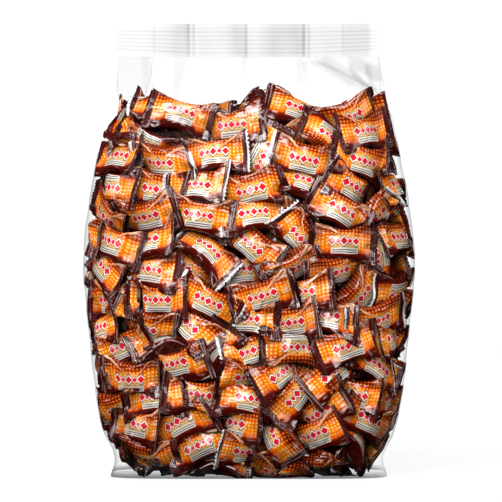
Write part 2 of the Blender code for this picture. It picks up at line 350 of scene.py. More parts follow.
# The wrapper's ground from the bottom of the print to its top, and the glow in its middle
GROUND_COLOURS = (
    (0.00, (0.045, 0.0020, 0.0012)),
    (0.20, (0.062, 0.0028, 0.0014)),
    (0.245, (0.120, 0.0056, 0.0018)),
    (0.29, (0.440, 0.0340, 0.0020)),
    (0.34, (0.820, 0.1250, 0.0012)),
    (0.44, (0.900, 0.1900, 0.0015)),
    (0.56, (0.900, 0.1900, 0.0015)),
    (0.65, (0.820, 0.1250, 0.0012)),
    (0.71, (0.500, 0.0420, 0.0010)),
    (0.78, (0.160, 0.0070, 0.0010)),
    (1.00, (0.080, 0.0040, 0.0012)),
)
GLOW_UP = 3.4
GLOW_SIZE = (12.0, 3.6)
GLOW_STRENGTH = 0.60
GLOW_COLOUR = (1.0, 0.60, 0.17, 1.0)

# The dots, in millimetres on the print and shares of their pitch
PRINT_START = 52.0
DOT_PITCH = 2.6
DOT_RADIUS = 0.29
DOT_EDGE = (1.5, 0.4)
DOTS_START = (-8.5, -5.5)
DOTS_FROM_TO = (-8.0, 14.0)
DOT_COLOURS = (
    (0.00, (0.80, 0.200, 0.010)),
    (0.30, (1.00, 0.660, 0.130)),
    (0.58, (1.00, 0.560, 0.080)),
    (0.80, (0.90, 0.250, 0.020)),
    (1.00, (0.50, 0.080, 0.010)),
)

# Strips of the label: from, to and softness up the print and across it, whether ticked, and colour
LABEL_STRIPS = (
    (((-4.4, -2.2, 0.3),), (-8.5, 11.5, 0.3), False, (0.72, 0.53, 0.24, 1.0)),
    (((-3.8, -2.7, 0.2),), (-7.8, 10.6, 0.2), True, (0.300, 0.190, 0.090, 1.0)),
    (((-7.9, -4.1, 0.15),), (-9.0, 10.5, 0.2), False, (0.66, 0.62, 0.56, 1.0)),
    (((-5.6, -5.0, 0.12), (-7.1, -6.5, 0.12)), (-8.4, 9.8, 0.1), False, (0.050, 0.034, 0.030, 1.0)),
)
TICK_PITCH = 1.1
TICK_EDGE = (0.25, 0.40)

# The label's ribbon and its lozenges: half width, half height and colour, one laid on the other
RIBBON_UP = 1.0
RIBBON_HALF_LENGTH = 11.0
RIBBON_HALF_WIDTH = 1.5
RIBBON_SOFT = 0.2
RIBBON_END_SOFT = 0.15
RIBBON_COLOUR = (0.90, 0.84, 0.78, 1.0)
LOZENGE_PITCH = 4.4
LOZENGE_SMALLER = 0.28
LOZENGE_EDGE = (1.10, 0.90)
LOZENGE_SHADES = (
    (4.2, 4.8, (0.070, 0.016, 0.014, 1.0)),
    (3.6, 3.9, (0.90, 0.84, 0.78, 1.0)),
    (2.6, 2.9, (0.66, 0.014, 0.027, 1.0)),
)

# Pleats painted as shade and highlight: turns of chance, slope, lift and start, then their painted
# shadow and highlight and their width
CORNER_FOLDS = ((3.0, 0.55, 4.0, 0.0), (11.0, 0.90, 0.5, 4.5))
FOLD_SHADOW_AND_HIGHLIGHT = ((-1.3, 0.50, (0.160, 0.016, 0.003, 1.0)), (0.0, 0.52, (1.0, 0.52, 0.28, 1.0)))
FOLD_SCATTER = 3.0
FOLD_SPREAD = 0.080
FOLD_WIDTH = 0.15
FOLD_FADE = 4.0
FOLD_EDGE = (1.1, 0.5)

# Facets and pleats in the wrapper's relief, and how far its random pattern is from sweet to sweet
SWEETS_APART = 90.0
HIGHLIGHT_STREAKS_APART = 70.0
FACET_SCALE = 0.11
FACET_HEIGHT = 0.50
PLEAT_SCALE = 0.42
PLEAT_HEIGHT = 0.5
PLEAT_STRETCH = (0.14, 1.0, 1.0)
PLEATS_START = (8.0, 15.0)

# Fins and necks: where they start, in millimetres, and their colours, with a white glint painted on a
# few fins' edges and which wrappers get more painted sheen
FIN_PRINT_START = (20.0, 20.5)
FIN_COLOUR = (0.060, 0.0046, 0.0040, 1.0)
GLINT_FINS = (0.87, 0.872)
GLINT_START = (23.5, 23.8)
GLINT_COLOUR = (0.80, 0.79, 0.79, 1.0)
NECK_START = (12.5, 17.5)
SHEEN_SHARE = (0.40, 0.60)
SHEEN_TURNS = 7.0

# Painted highlight streaks: scale out and up, limits, how much stronger on wrappers with more painted
# sheen, least strength and colour
FIN_PAINTED_HIGHLIGHTS = ((1.1, 0.05), (0.50, 0.66), 0.60, 0.07, (0.56, 0.42, 0.38, 1.0))
NECK_PAINTED_HIGHLIGHTS = ((0.10, 0.42), (0.52, 0.70), 0.40, 0.18, (0.92, 0.76, 0.62, 1.0))

# How far wrappers differ in brightness, their print's roughness and the shine and blur of their gloss
TONE_RANGE = 0.30
PRINT_ROUGHNESS = 0.42
WRAPPER_SHINE = 1.56
WRAPPER_BLUR = 0.12

# The clear film: its gloss, its crinkles, where it is empty, its right ear and the contact shadow
# painted as a dark line at its foot
FILM_GLOSS = 0.002
EDGE_GLOSS = 0.06
GLOSS_BLUR = 0.24
CRINKLE_SCALE = 38.0
CRINKLE_WARP = 0.6
CRINKLE_STRENGTH = 0.6
EMPTY_FILM = (0.262, 0.280)
EMPTY_CLEARER = 0.5
RIGHT_EAR_X = (0.074, 0.094)
RIGHT_EAR_Z = (0.030, 0.016)
RIGHT_EAR_CLEARER = 0.55
CONTACT_SHADOW_TOP = (0.0062, 0.0012)
CONTACT_SHADOW_BASE = (0.0006, 0.0009)
CONTACT_SHADOW_END = (0.090, 0.104)
CONTACT_SHADOW_END_CLEARER = 0.75
CONTACT_SHADOW_STRENGTH = 0.85
CONTACT_SHADOW_COLOUR = (0.22, 0.22, 0.23, 1.0)

# The camera
FRAME_PIXELS = 502
BAG_PIXELS = 451.0
PHOTO_MIDDLE_X = 249.0
PHOTO_BASE_Y = 475.0
CAMERA_DISTANCE = 2.2
CAMERA_HEIGHT = 0.19
SENSOR = 36.0

# The room's brightness as the camera, dull surfaces and gloss see it, the floor's and the lamps'
ROOM_SEEN = 1.06
ROOM_LIGHT = 0.42
ROOM_GLOSS = 0.008
ROOM_HORIZON = 0.1
FLOOR_SIZE = 6.0
FLOOR_COLOUR = (0.11, 0.11, 0.11, 1.0)
FLOOR_GLOW = 0.865
FLOOR_FAR_GLOW = 0.11
FLOOR_FAR = (0.60, 2.50)
LAMP_TARGET = (0.0, 0.0, 0.16)
LAMPS = (
    ("front_lamp", (-0.25, -1.50, 0.62), (0.95, 0.60), 10.2),
    ("high_lamp", (-0.40, -0.85, 1.30), (0.80, 0.50), 14.2),
    ("left_lamp", (-1.30, -0.60, 0.50), (0.40, 1.00), 3.0),
    ("right_lamp", (1.30, -0.70, 0.50), (0.40, 1.00), 3.0),
    ("back_lamp", (0.25, 1.45, 0.80), (1.50, 1.00), 4.4),
)


def film_section(height):
    """Half width, half depth and squareness of the film at each height, smooth between levels."""
    levels = np.array(LEVELS)
    heights = levels[:, 0]
    place = np.clip(height, heights[0], heights[-1])
    below = np.clip(np.searchsorted(heights, place, side="right") - 1, 0, len(levels) - 2)
    step = heights[below + 1] - heights[below]
    t = (place - heights[below]) / step
    sizes = []
    for column in (1, 2, 3):
        values = levels[:, column]
        slopes = np.gradient(values, heights)
        start = (1 + 2 * t) * (1 - t) ** 2 * values[below] + t * (1 - t) ** 2 * step * slopes[below]
        end = t * t * (3 - 2 * t) * values[below + 1] - t * t * (1 - t) * step * slopes[below + 1]
        sizes.append(start + end)
    return sizes


def rim_points(height, inset, angles):
    """Points of the film's section at a height, moved inwards, for the given angles."""
    half_width, half_depth, squareness = film_section(height)
    across, deep = np.cos(angles), np.sin(angles)
    power = 2.0 / squareness
    x = (half_width - inset) * np.sign(across) * np.abs(across) ** power
    y = np.maximum(half_depth - inset, 0.0) * np.sign(deep) * np.abs(deep) ** power
    return x, y


def evenly_round(height, inset, pitch, shift):
    """Points one pitch apart round a section, with the outward direction at each."""
    x, y = rim_points(height, inset, np.linspace(0.0, 2.0 * math.pi, SECTION_SAMPLES))
    walked = np.concatenate([[0.0], np.cumsum(np.hypot(np.diff(x), np.diff(y)))])
    count = max(4, round(walked[-1] / pitch))
    at = (np.arange(count) + shift) % count / count * walked[-1]
    px, py = np.interp(at, walked, x), np.interp(at, walked, y)
    ahead = (at + OUTWARD_REACH) % walked[-1]
    behind = (at - OUTWARD_REACH) % walked[-1]
    tx = np.interp(ahead, walked, x) - np.interp(behind, walked, x)
    ty = np.interp(ahead, walked, y) - np.interp(behind, walked, y)
    length = np.hypot(tx, ty)
    return np.stack([px, py], axis=1), np.stack([ty / length, -tx / length], axis=1)


def first_places(rng):
    """Rows of sweets in two layers behind the film, label out, each turned a little at random."""
    middles, alongs, ups = [], [], []
    rows = int((LAST_ROW - FIRST_ROW) / ROW_PITCH) + 1
    for layer, depth in enumerate(LAYER_DEPTHS):
        for row in range(rows):
            height = FIRST_ROW + row * ROW_PITCH
            if film_section(height)[1] < depth + LAYER_ROOM:
                continue
            shift = 0.5 * ((row + layer) % 2) + rng.uniform(-ROW_SHIFT, ROW_SHIFT)
            spots, outs = evenly_round(height, depth, COLUMN_PITCH, shift)
            for (x, y), (out_x, out_y) in zip(spots, outs):
                along, up = turned_sweet(Vector((out_x, out_y, 0.0)), rng)
                middles.append((x, y, height + rng.normal(0.0, ROW_WAVER)))
                alongs.append(along)
                ups.append(up)
    return np.array(middles), np.array(alongs), np.array(ups)


def turned_sweet(outward, rng):
    """Long axis and up axis of one sweet that faces outwards, mostly level and upright."""
    spread = WILD_SPIN if rng.random() < WILD_SHARE else SPIN
    spin = rng.normal(0.0, spread) + (math.pi if rng.random() < OVER_SHARE else 0.0)
    lean_back = Matrix.Rotation(rng.normal(0.0, LEAN_BACK), 3, "X")
    lean_side = Matrix.Rotation(rng.normal(0.0, LEAN_SIDE), 3, "Z")
    own = Matrix.Rotation(spin, 3, "Y") @ (lean_back @ lean_side)
    up = Vector((0.0, 0.0, 1.0))
    inward = -outward
    level = Matrix((inward.cross(up), inward, up)).transposed()
    turned = level @ own
    return tuple(turned.col[0]), tuple(turned.col[2])


def near_pairs(middles):
    """Index pairs of sweets close enough to touch."""
    gaps = np.linalg.norm(middles[:, None] - middles[None, :], axis=2)
    return np.nonzero(np.triu(gaps < NEIGHBOUR_REACH, 1))


def film_push(balls, radii):
    """How far each ball must move to be inside the film, above the floor and below the heap's top."""
    half_width, half_depth, squareness = film_section(balls[..., 2])
    foot = FOOT_GAP * np.maximum(1.0 - balls[..., 2] / FOOT_HEIGHT, 0.0)
    a = np.maximum(half_width - FILM_GAP - foot - radii, LEAST_ROOM)
    b = np.maximum(half_depth - FILM_GAP - foot / 2 - radii, LEAST_ROOM)
    x, y = np.abs(balls[..., 0]) / a, np.abs(balls[..., 1]) / b
    reach = np.maximum(x**squareness + y**squareness, TINY) ** (1.0 / squareness)
    slope_x = np.sign(balls[..., 0]) * (x / reach) ** (squareness - 1.0) / a
    slope_y = np.sign(balls[..., 1]) * (y / reach) ** (squareness - 1.0) / b
    outside = np.maximum(reach - 1.0, 0.0) / (slope_x**2 + slope_y**2)
    push = np.zeros_like(balls)
    push[..., 0] = -outside * slope_x
    push[..., 1] = -outside * slope_y
    push[..., 2] = np.maximum(FILM_GAP + radii - balls[..., 2], 0.0)
    crest = 0.5 - 0.5 * np.cos(2.0 * math.pi * (balls[..., 0] - HEAP_CREST_X) / HEAP_WAVE)
    push[..., 2] -= np.maximum(balls[..., 2] + radii - HEAP_TOP + HEAP_DIP * crest, 0.0)
    return push


def contact_pushes(middles, balls, radii):
    """How far each ball is pushed by the balls of the sweets it touches."""
    pushes = np.zeros_like(balls)
    first, second = near_pairs(middles)
    apart = balls[first][:, :, None] - balls[second][:, None]
    gaps = np.sqrt((apart**2).sum(axis=3)) + TINY
    overlap = np.maximum(radii[:, None] + radii[None, :] - gaps, 0.0)
    shoves = apart * (0.5 * overlap / gaps)[..., None]
    np.add.at(pushes, first, shoves.sum(axis=2))
    np.add.at(pushes, second, -shoves.sum(axis=1))
    return pushes


def drift(middles):
    """The small steady pull on each sweet, out to the film and down."""
    outward = middles * OUTWARD_WAY
    outward /= np.linalg.norm(outward, axis=1)[:, None] + TINY
    return OUTWARD_DRIFT * outward - (0.0, 0.0, DOWNWARD_DRIFT)


def shortened(vectors, longest):
    """The same vectors, none of them longer than the longest allowed."""
    lengths = np.linalg.norm(vectors, axis=1)[:, None] + TINY
    return vectors * np.minimum(1.0, longest / lengths)


def unit(vectors):
    """The same directions, each one long."""
    return vectors / np.linalg.norm(vectors, axis=1)[:, None]


def ball_arms(alongs, ups):
    """From the middle of each sweet to the balls that stand for it."""
    return alongs[:, None] * BALLS[None, :, :1] + ups[:, None] * BALLS[None, :, 1:2]


def settled_sweets():
    """Middles, long axes and up axes of all sweets once the heap has settled against the film."""
    middles, alongs, ups = first_places(np.random.default_rng(SEED))
    radii = BALLS[:, 2]
    for step in range(SETTLE_STEPS):
        arms = ball_arms(alongs, ups)
        balls = middles[:, None] + arms
        pushes = FILM_STIFFNESS * film_push(balls, radii) + contact_pushes(middles, balls, radii)
        moves = SETTLE_SHARE * pushes.sum(axis=1) + drift(middles)
        twists = SETTLE_SHARE * np.cross(arms, pushes).sum(axis=1) / TURNING_RADIUS**2
        twists = shortened(twists, LONGEST_TWIST)
        middles = np.round(middles + shortened(moves, LONGEST_MOVE), 7)
        alongs = np.round(unit(alongs + np.cross(twists, alongs)), 7)
        ups = ups + np.cross(twists, ups)
        ups = np.round(unit(ups - alongs * (ups * alongs).sum(axis=1)[:, None]), 7)
    return middles, alongs, ups


def sweets_on_top(middles, alongs, ups):
    """The same sweets and a few more, each lowered flat onto the top of the heap until it rests."""
    rng = np.random.default_rng(SEED + 2)
    for x, y in TOP_PLACES:
        heap_balls = (middles[:, None] + ball_arms(alongs, ups)).reshape(-1, 3)
        heap_radii = np.tile(BALLS[:, 2], len(middles))
        spin, lean = rng.normal(0.0, TOP_SPIN), rng.normal(0.0, TOP_LEAN)
        level = math.cos(lean)
        along = np.array((math.cos(spin) * level, math.sin(spin) * level, math.sin(lean)))
        up = np.array((-math.sin(spin), math.cos(spin), 0.0))
        arms = along * BALLS[:, :1] + up * BALLS[:, 1:2]
        height = TOP_FROM
        for step in range(TOP_STEPS):
            balls = np.array((x, y, height)) + arms
            gaps = np.linalg.norm(balls[:, None] - heap_balls[None, :], axis=2)
            if (BALLS[:, 2:] + heap_radii[None, :] - gaps).max() > REST_OVERLAP:
                break
            height -= TOP_STEP
        middles = np.concatenate([middles, [(x, y, height)]])
        alongs = np.concatenate([alongs, [along]])
        ups = np.concatenate([ups, [up]])
    return middles, alongs, ups


def heap_shade(points):
    """How much shade each point of the heap lies in: deep behind the film, and near the floor."""
    open_above = smooth_rise(points[:, 2], *SHADE_TOP)
    deep = smooth_rise(film_depth(points), *SHADE_DEPTHS) * (1.0 - SHADE_OPEN_TOP * open_above)
    low = FOOT_SHADE * (1.0 - smooth_rise(points[:, 2], 0.0, FOOT_SHADE_HEIGHT))
    return 1.0 - (1.0 - deep) * (1.0 - low)


def film_depth(points):
    """How deep each point lies behind the film."""
    half_width, half_depth, squareness = film_section(points[:, 2])
    x, y = np.abs(points[:, 0]) / half_width, np.abs(points[:, 1]) / half_depth
    reach = np.maximum(x**squareness + y**squareness, TINY) ** (1.0 / squareness)
    slope_x = (x / reach) ** (squareness - 1.0) / half_width
    slope_y = (y / reach) ** (squareness - 1.0) / half_depth
    return (1.0 - reach) / np.hypot(slope_x, slope_y)


def deselect_everything():
    """Nothing selected and no object active, so that an operator acts on the new piece alone."""
    bpy.ops.object.select_all(action="DESELECT")
    bpy.context.view_layer.objects.active = None


def open_for_editing(piece, kind):
    """Put a piece in edit mode with nothing selected, ready for its edges or faces to be picked."""
    bpy.ops.object.mode_set(mode="EDIT")
    bpy.ops.mesh.select_mode(type=kind)
    bpy.ops.mesh.select_all(action="DESELECT")
    return bmesh.from_edit_mesh(piece.data)


def cut_edges_along(piece, axis, cuts):
    """Cut every edge of a piece that runs along one axis into even parts."""
    cage = open_for_editing(piece, "EDGE")
    for edge in cage.edges:
        way = edge.verts[1].co - edge.verts[0].co
        edge.select_set(abs(way[axis]) > ALONG_SHARE * way.length)
    bmesh.update_edit_mesh(piece.data)
    bpy.ops.mesh.subdivide(number_cuts=cuts)
    bpy.ops.object.mode_set(mode="OBJECT")


def ringed_tube(name, around, segments, length, along_x=False):
    """A closed drum one unit in radius, with its long edges cut into even segments."""
    deselect_everything()
    turn = (0.0, math.pi / 2, 0.0) if along_x else (0.0, 0.0, 0.0)
    bpy.ops.mesh.primitive_cylinder_add(
        vertices=around, radius=1.0, depth=length, end_fill_type="NGON", rotation=turn
    )
    tube = bpy.context.active_object
    tube.name = name
    bpy.ops.object.transform_apply(location=True, rotation=True, scale=True)
    cut_edges_along(tube, 0 if along_x else 2, segments - 1)
    return tube


def points_of(piece):
    """The piece's points as an array."""
    points = np.empty(len(piece.data.vertices) * 3)
    piece.data.vertices.foreach_get("co", points)
    return points.reshape(-1, 3)


def set_points(piece, points):
    """Move the piece's points."""
    piece.data.vertices.foreach_set("co", np.ascontiguousarray(points, dtype=np.float32).ravel())
    piece.data.update()


def mark_points(mesh, name, kind, values):
    """Give every point of a mesh a value of its own for the materials to read."""
    mark = mesh.attributes.new(name, kind, "POINT")
    field = "vector" if kind == "FLOAT_VECTOR" else "value"
    mark.data.foreach_set(field, np.ascontiguousarray(values, dtype=np.float32).ravel())


def smooth_rise(value, low, high):
    """0 below low, 1 above high and an even curve between."""
    t = np.clip((value - low) / (high - low), 0.0, 1.0)
    return t * t * (3.0 - 2.0 * t)


def flare_at(away):
    """How far the wrapper has flared out towards its fin, from 0 to 1, and its half height."""
    flare = np.clip((away - FLARE_START) / (FIN_START - FLARE_START), 0.0, 1.0) ** FLARE_CURVE
    return flare, BODY_HEIGHT / 2 + (FIN_HEIGHT - BODY_HEIGHT) / 2 * flare


def wrapper_section(away, step):
    """Thickness, height and distance up the print for points along and round a quarter wrapper."""
    flare, half_height = flare_at(away)
    half_thickness = FIN_THICKNESS / 2 + (BODY_THICKNESS - FIN_THICKNESS) / 2 * (1.0 - flare)
    corner = np.minimum(BODY_ROUNDING * (1.0 - flare) + THINNEST_CORNER, half_thickness * 0.9)
    face = half_height - corner
    bend = corner * math.pi / 2
    side = HALF_WRAP - face - bend
    up_face = face * np.minimum(step / FACE_STEPS, 1.0)
    round_corner = bend * np.clip((step - FACE_STEPS) / CORNER_STEPS, 0.0, 1.0)
    along_side = side * np.clip((step - FACE_STEPS - CORNER_STEPS) / SIDE_STEPS, 0.0, 1.0)
    even = smooth_rise(away, EVEN_FROM, FIN_START)
    walked = (up_face + round_corner + along_side) * (1.0 - even)
    walked = walked + HALF_WRAP * step / QUARTER_STEPS * even
    turn = np.clip((walked - face) / bend, 0.0, 1.0) * math.pi / 2
    back_share = np.clip((walked - face - bend) / side, 0.0, 1.0)
    up = np.minimum(walked, face) + corner * np.sin(turn)
    deep = half_thickness - corner * (1.0 - np.cos(turn)) - (half_thickness - corner) * back_share
    return deep, up, walked


def crumple(points, scale, seed):
    """Soft random folds for each point, from -1 to 1."""
    start = Vector((seed, 2.7 * seed, 0.0))
    return np.array([noise.noise(Vector(point) * scale + start) for point in points])


def sharp_crumple(points, scale, seed):
    """Creases with sharp crests for each point, from 0 to 1."""
    return 1.0 - np.minimum(1.0, FOLD_SHARPNESS * np.abs(crumple(points, scale, seed)))


def wrapped_sweet(name, ring_places, rng):
    """One flow-wrapped sweet: a soft block in film that flares to a crimped fin at each end."""
    places = np.array(ring_places) / MM
    places = np.concatenate([-places, places[::-1][1:]])
    around = 4 * QUARTER_STEPS
    sweet = ringed_tube(name, around, len(places) - 1, 2.0, along_x=True)
    unit_points = points_of(sweet)
    ring = np.round((unit_points[:, 0] + 1.0) / 2.0 * (len(places) - 1)).astype(int)
    angle = np.arctan2(unit_points[:, 2], -unit_points[:, 1])
    turn_step = np.round(angle / (2.0 * math.pi / around)).astype(int)
    front = np.abs(turn_step) <= QUARTER_STEPS
    step = np.where(front, np.abs(turn_step), 2 * QUARTER_STEPS - np.abs(turn_step))
    facing = np.where(front, -1.0, 1.0)
    upward = np.sign(turn_step)
    x = places[ring]
    away = np.abs(x)
    deep, up, walked = wrapper_section(away, step)
    crown = 1.0 - smooth_rise(away, *CROWN_FADE)
    deep = deep + CROWN * crown * (1.0 - np.clip(up / CROWN_HEIGHT, 0.0, 1.0) ** 4)
    in_fin = away > FIN_START - RING_SLACK
    rib_number = np.round((away - FIN_START) / FIN_RIB_SPACING).astype(int)
    rib = np.where(rib_number % 2 == 0, 1.0, -1.0)
    at_edge = away > FIN_REACH - RING_SLACK
    y = facing * deep + FIN_RIB_DEPTH * rib * in_fin * ~at_edge
    tooth = np.where(turn_step % 2 == 0, 1.0, -1.0)
    x = x + np.sign(x) * TOOTH_DEPTH * tooth * at_edge
    points = np.stack([x, y, up * upward], axis=1)
    print_place = np.stack([x * MM, walked * upward * MM, facing], axis=1)
    set_points(sweet, crumpled_sweet(points, facing, rng))
    return sweet, print_place


def crumpled_sweet(points, facing, rng):
    """The sweet with its film wrinkled, its necks pleated and each fin bent its own way."""
    x, y, z = points.T.copy()
    away = np.abs(x)
    seed = rng.uniform(3.0, 90.0)
    on_body = 1.0 - smooth_rise(away, *ON_BODY)
    neck = smooth_rise(away, *NECK_RISE) * (1.0 - smooth_rise(away, *NECK_FALL))
    surface = np.stack([x, facing * FACES_APART, z], axis=1)
    drawn_out = np.stack([x * PLEATS_DRAWN_OUT, facing * FACES_APART, z], axis=1)
    soft = SOFT_FOLDS[1] * crumple(surface, SOFT_FOLDS[0], seed)
    fine = FINE_FOLDS[1] * crumple(surface, FINE_FOLDS[0], seed + 11.0)
    pleats = sharp_crumple(drawn_out, NECK_PLEATS[0], seed + 5.0)
    y += facing * (soft + fine) * on_body
    y += facing * NECK_PLEATS[1] * (pleats - PLEATS_MIDDLE) * neck
    level = np.stack([x * WAVES_DRAWN_OUT, x * 0.0, z], axis=1)
    wave = crumple(level, FIN_WAVES[0], seed + 23.0)
    y += FIN_WAVES[1] * wave * smooth_rise(away, FIN_WAVE_START, FIN_REACH)
    z += UPRIGHT_FOLDS[1] * crumple(surface, UPRIGHT_FOLDS[0], seed + 31.0)
    for end in (-1.0, 1.0):
        reach = np.maximum(end * x - BEND_FROM, 0.0)
        bend = np.clip(rng.normal(0.0, BEND), -MOST_BEND, MOST_BEND)
        y += bend * reach
        x -= end * (1.0 - math.cos(bend)) * reach * BEND_PULL
        twist = rng.normal(0.0, TWIST) * np.clip(reach / (FIN_REACH - BODY_LENGTH / 2), 0.0, 1.0)
        y, z = y * np.cos(twist) - z * np.sin(twist), y * np.sin(twist) + z * np.cos(twist)
        z += rng.normal(0.0, SLANT) * reach
    return np.stack([x, y, z], axis=1)


def push_out_of_bodies(points, ends, loose, near_middles, near_axes):
    """Bend the necks and fins of one sweet in front of or behind the sweets beside it."""
    for other, axes in zip(near_middles, near_axes):
        own = (points - other) @ axes
        away = np.abs(own[:, 0])
        flare, half_height = flare_at(away)
        half_thickness = BODY_THICKNESS / 2 * (1.0 - flare) + BODY_ROOM
        sunk = (away < FIN_START) & (np.abs(own[:, 2]) < half_height)
        sunk &= (np.abs(own[:, 1]) < half_thickness) & (loose > 0.0)
        for end in (ends < 0.0, ends > 0.0):
            rows = np.nonzero(sunk & end)[0]
            if not len(rows):
                continue
            side = 1.0 if own[rows, 1].sum() > 0.0 else -1.0
            out = np.zeros((len(rows), 3))
            out[:, 1] = side * np.maximum(half_thickness[rows] - side * own[rows, 1], 0.0)
            points[rows] += (out * loose[rows, None]) @ axes.T
    return points


def inside_film(points):
    """The points, moved in where they would stand out through the film."""
    return points + film_push(points, np.float64(FILM_CLEARANCE - FILM_GAP))


def lay_sweets(kind, which, middles, axes, rng):
    """All copies of one kind of sweet in their places, as one mesh."""
    sweet, print_place = kind
    form = points_of(sweet)
    loose = smooth_rise(np.abs(print_place[:, 0]) / MM, *LOOSE_FROM_TO)
    faces = [tuple(face.vertices) for face in sweet.data.polygons]
    all_points, all_faces, all_places, all_tones = [], [], [], []
    for index in which:
        gaps = np.linalg.norm(middles - middles[index], axis=1)
        near = np.nonzero((gaps < TOUCHING) & (gaps > 0.0))[0]
        points = middles[index] + form @ axes[index].T
        points = push_out_of_bodies(points, print_place[:, 0], loose, middles[near], axes[near])
        points = inside_film(points)
        start = len(all_points) * len(form)
        all_points.append(points)
        all_faces.extend(tuple(start + corner for corner in face) for face in faces)
        shift = np.array([*(rng.normal(0.0, slip) for slip in PRINT_SLIP), 0.0])
        all_places.append(print_place + shift * (1.0 - loose[:, None]))
        all_tones.append(np.full(len(form), rng.random()))
    name = sweet.name
    bpy.data.objects.remove(sweet)
    mesh = bpy.data.meshes.new(name)
    mesh.from_pydata(np.concatenate(all_points), [], all_faces)
    mark_points(mesh, "print_place", "FLOAT_VECTOR", np.concatenate(all_places))
    mark_points(mesh, "fin_share", "FLOAT", np.tile(np.abs(print_place[:, 0]), len(which)))
    mark_points(mesh, "heap_shade", "FLOAT", heap_shade(np.concatenate(all_points)))
    mark_points(mesh, "sweet_tone", "FLOAT", np.concatenate(all_tones))
    heap = bpy.data.objects.new(name, mesh)
    bpy.context.scene.collection.objects.link(heap)
    return heap


def turned_a_little(axes, heights, rng):
    """Each sweet's axes with a roll, pitch and yaw of its own, stronger low in the bag."""
    turned = axes.copy()
    for index, height in enumerate(heights):
        low = 1.0 + LOW_TUMBLE * (1.0 - min(1.0, max(0.0, (height - LOW_FROM) / LOW_OVER)))
        angles = rng.normal(0.0, 1.0, 3) * np.array(ROLL_PITCH_YAW) * low
        roll, pitch, yaw = (Matrix.Rotation(angle, 3, axis) for angle, axis in zip(angles, "XZY"))
        turned[index] = axes[index] @ np.array(roll @ pitch @ yaw)
    return turned


def heap_of_sweets(middles, alongs, ups):
    """Every sweet of the bag: finely made near the film, plainly behind."""
    rng = np.random.default_rng(SEED + 1)
    axes = np.stack([alongs, np.cross(ups, alongs), ups], axis=2)
    axes = turned_a_little(axes, middles[:, 2], rng)
    narrowing = HEAP_NARROWING - FOOT_NARROWING * (1.0 - smooth_rise(middles[:, 2], *FOOT_NARROWS))
    same = np.ones_like(narrowing)
    middles = middles * np.stack([narrowing, same, same], axis=1)
    depths = film_depth(middles)
    fine = (depths < FINE_DEPTH) | (np.arange(len(middles)) >= len(middles) - len(TOP_PLACES))
    outer, inner = np.nonzero(fine)[0], np.nonzero(~fine)[0]
    heaps = []
    for name, which, rings, kinds in (
        ("wrapped_sweets", outer, FINE_RINGS, CRUMPLES),
        ("inner_sweets", inner, PLAIN_RINGS, PLAIN_CRUMPLES),
    ):
        for number in range(kinds):
            kind = wrapped_sweet(f"{name}_{number + 1}", rings, rng)
            heaps.append(lay_sweets(kind, which[number::kinds], middles, axes, rng))
    return heaps


def shadow_core():
    """A dark lumpy body in the middle of the heap, standing in for the shade among the sweets round it.
    """
    core = ringed_tube("shadow_core", CORE_AROUND, CORE_RINGS, 2.0)
    points = points_of(core)
    angle = np.arctan2(points[:, 1], points[:, 0])
    radius = np.hypot(points[:, 0], points[:, 1])
    height = CORE_FOOT + (points[:, 2] + 1.0) / 2.0 * (CORE_TOP - CORE_FOOT)
    x, y = rim_points(height, CORE_DEPTH, angle)
    lumps = crumple(np.stack([x, y, height], axis=1), CORE_LUMP_SCALE, 4.0)
    lumps = CORE_LEAST + CORE_LUMPS * lumps
    set_points(core, np.stack([x * lumps * radius, y * lumps * radius, height], axis=1))
    return core


def film_places():
    """A closed tube for the film, with each point's ring and its place round the section."""
    film = ringed_tube("clear_film", FILM_AROUND, FILM_RINGS, 2.0)
    points = points_of(film)
    ring = np.round((points[:, 2] + 1.0) / 2.0 * FILM_RINGS).astype(int)
    turn = np.arctan2(points[:, 1], points[:, 0]) / (2.0 * math.pi)
    step = np.round(turn * FILM_AROUND).astype(int) % FILM_AROUND
    return film, ring, step


def film_heights():
    """The heights of the film's rings, closer together in the headspace."""
    low = np.linspace(BASE_LIFT, HEAD_FROM, LOW_RINGS + 1)
    head = np.linspace(HEAD_FROM, WEDGE_TOP, HEAD_RINGS + 1)
    return np.concatenate([low, head[1:]])[:, None]


def film_grid():
    """Rings of points on the smooth film, even along the front and along the side."""
    step = np.arange(FILM_AROUND)
    half = FILM_AROUND // 2
    folded = np.minimum(step % half, half - step % half)
    sign_x = np.where((step < half / 2) | (step > 3 * half / 2), 1.0, -1.0)
    sign_y = np.where(step < half, 1.0, -1.0)
    height = film_heights()
    half_width, half_depth, squareness = film_section(height)
    squareness = squareness + TOP_SQUARENESS * smooth_rise(height, SQUARER_FROM, WEDGE_TOP)
    corner = 0.5 ** (1.0 / squareness)
    on_side = folded <= FILM_SIDE // 2
    side_share = corner * np.clip(folded / (FILM_SIDE / 2), 0.0, 1.0)
    front_share = corner * np.clip((half / 2 - folded) / (FILM_FRONT / 2), 0.0, 1.0)
    side_other = (1.0 - side_share**squareness) ** (1.0 / squareness)
    front_other = (1.0 - front_share**squareness) ** (1.0 / squareness)
    x = half_width * np.where(on_side, side_other, front_share) * sign_x
    y = half_depth * np.where(on_side, side_share, front_other) * sign_y
    left = np.interp(height, *np.array(LEFT_GUSSET).T)
    right = np.interp(height, *np.array(RIGHT_GUSSET).T)
    fold = np.clip(1.0 - np.abs(y) / (half_depth * corner), 0.0, 1.0) * on_side
    x = x - np.where(x > 0.0, right, -left) * fold
    return np.stack([x, y, np.broadcast_to(height, x.shape)], axis=2)


def beside_line(place, x0, z0, x1, z1):
    """How far along a line each place lies, from 0 to 1, and how far off it."""
    start = np.array([x0, z0])
    run = np.array([x1, z1]) - start
    share = np.clip(((place - start) @ run) / (run @ run), 0.0, 1.0)
    return share, np.linalg.norm(place - start - share[..., None] * run, axis=2)


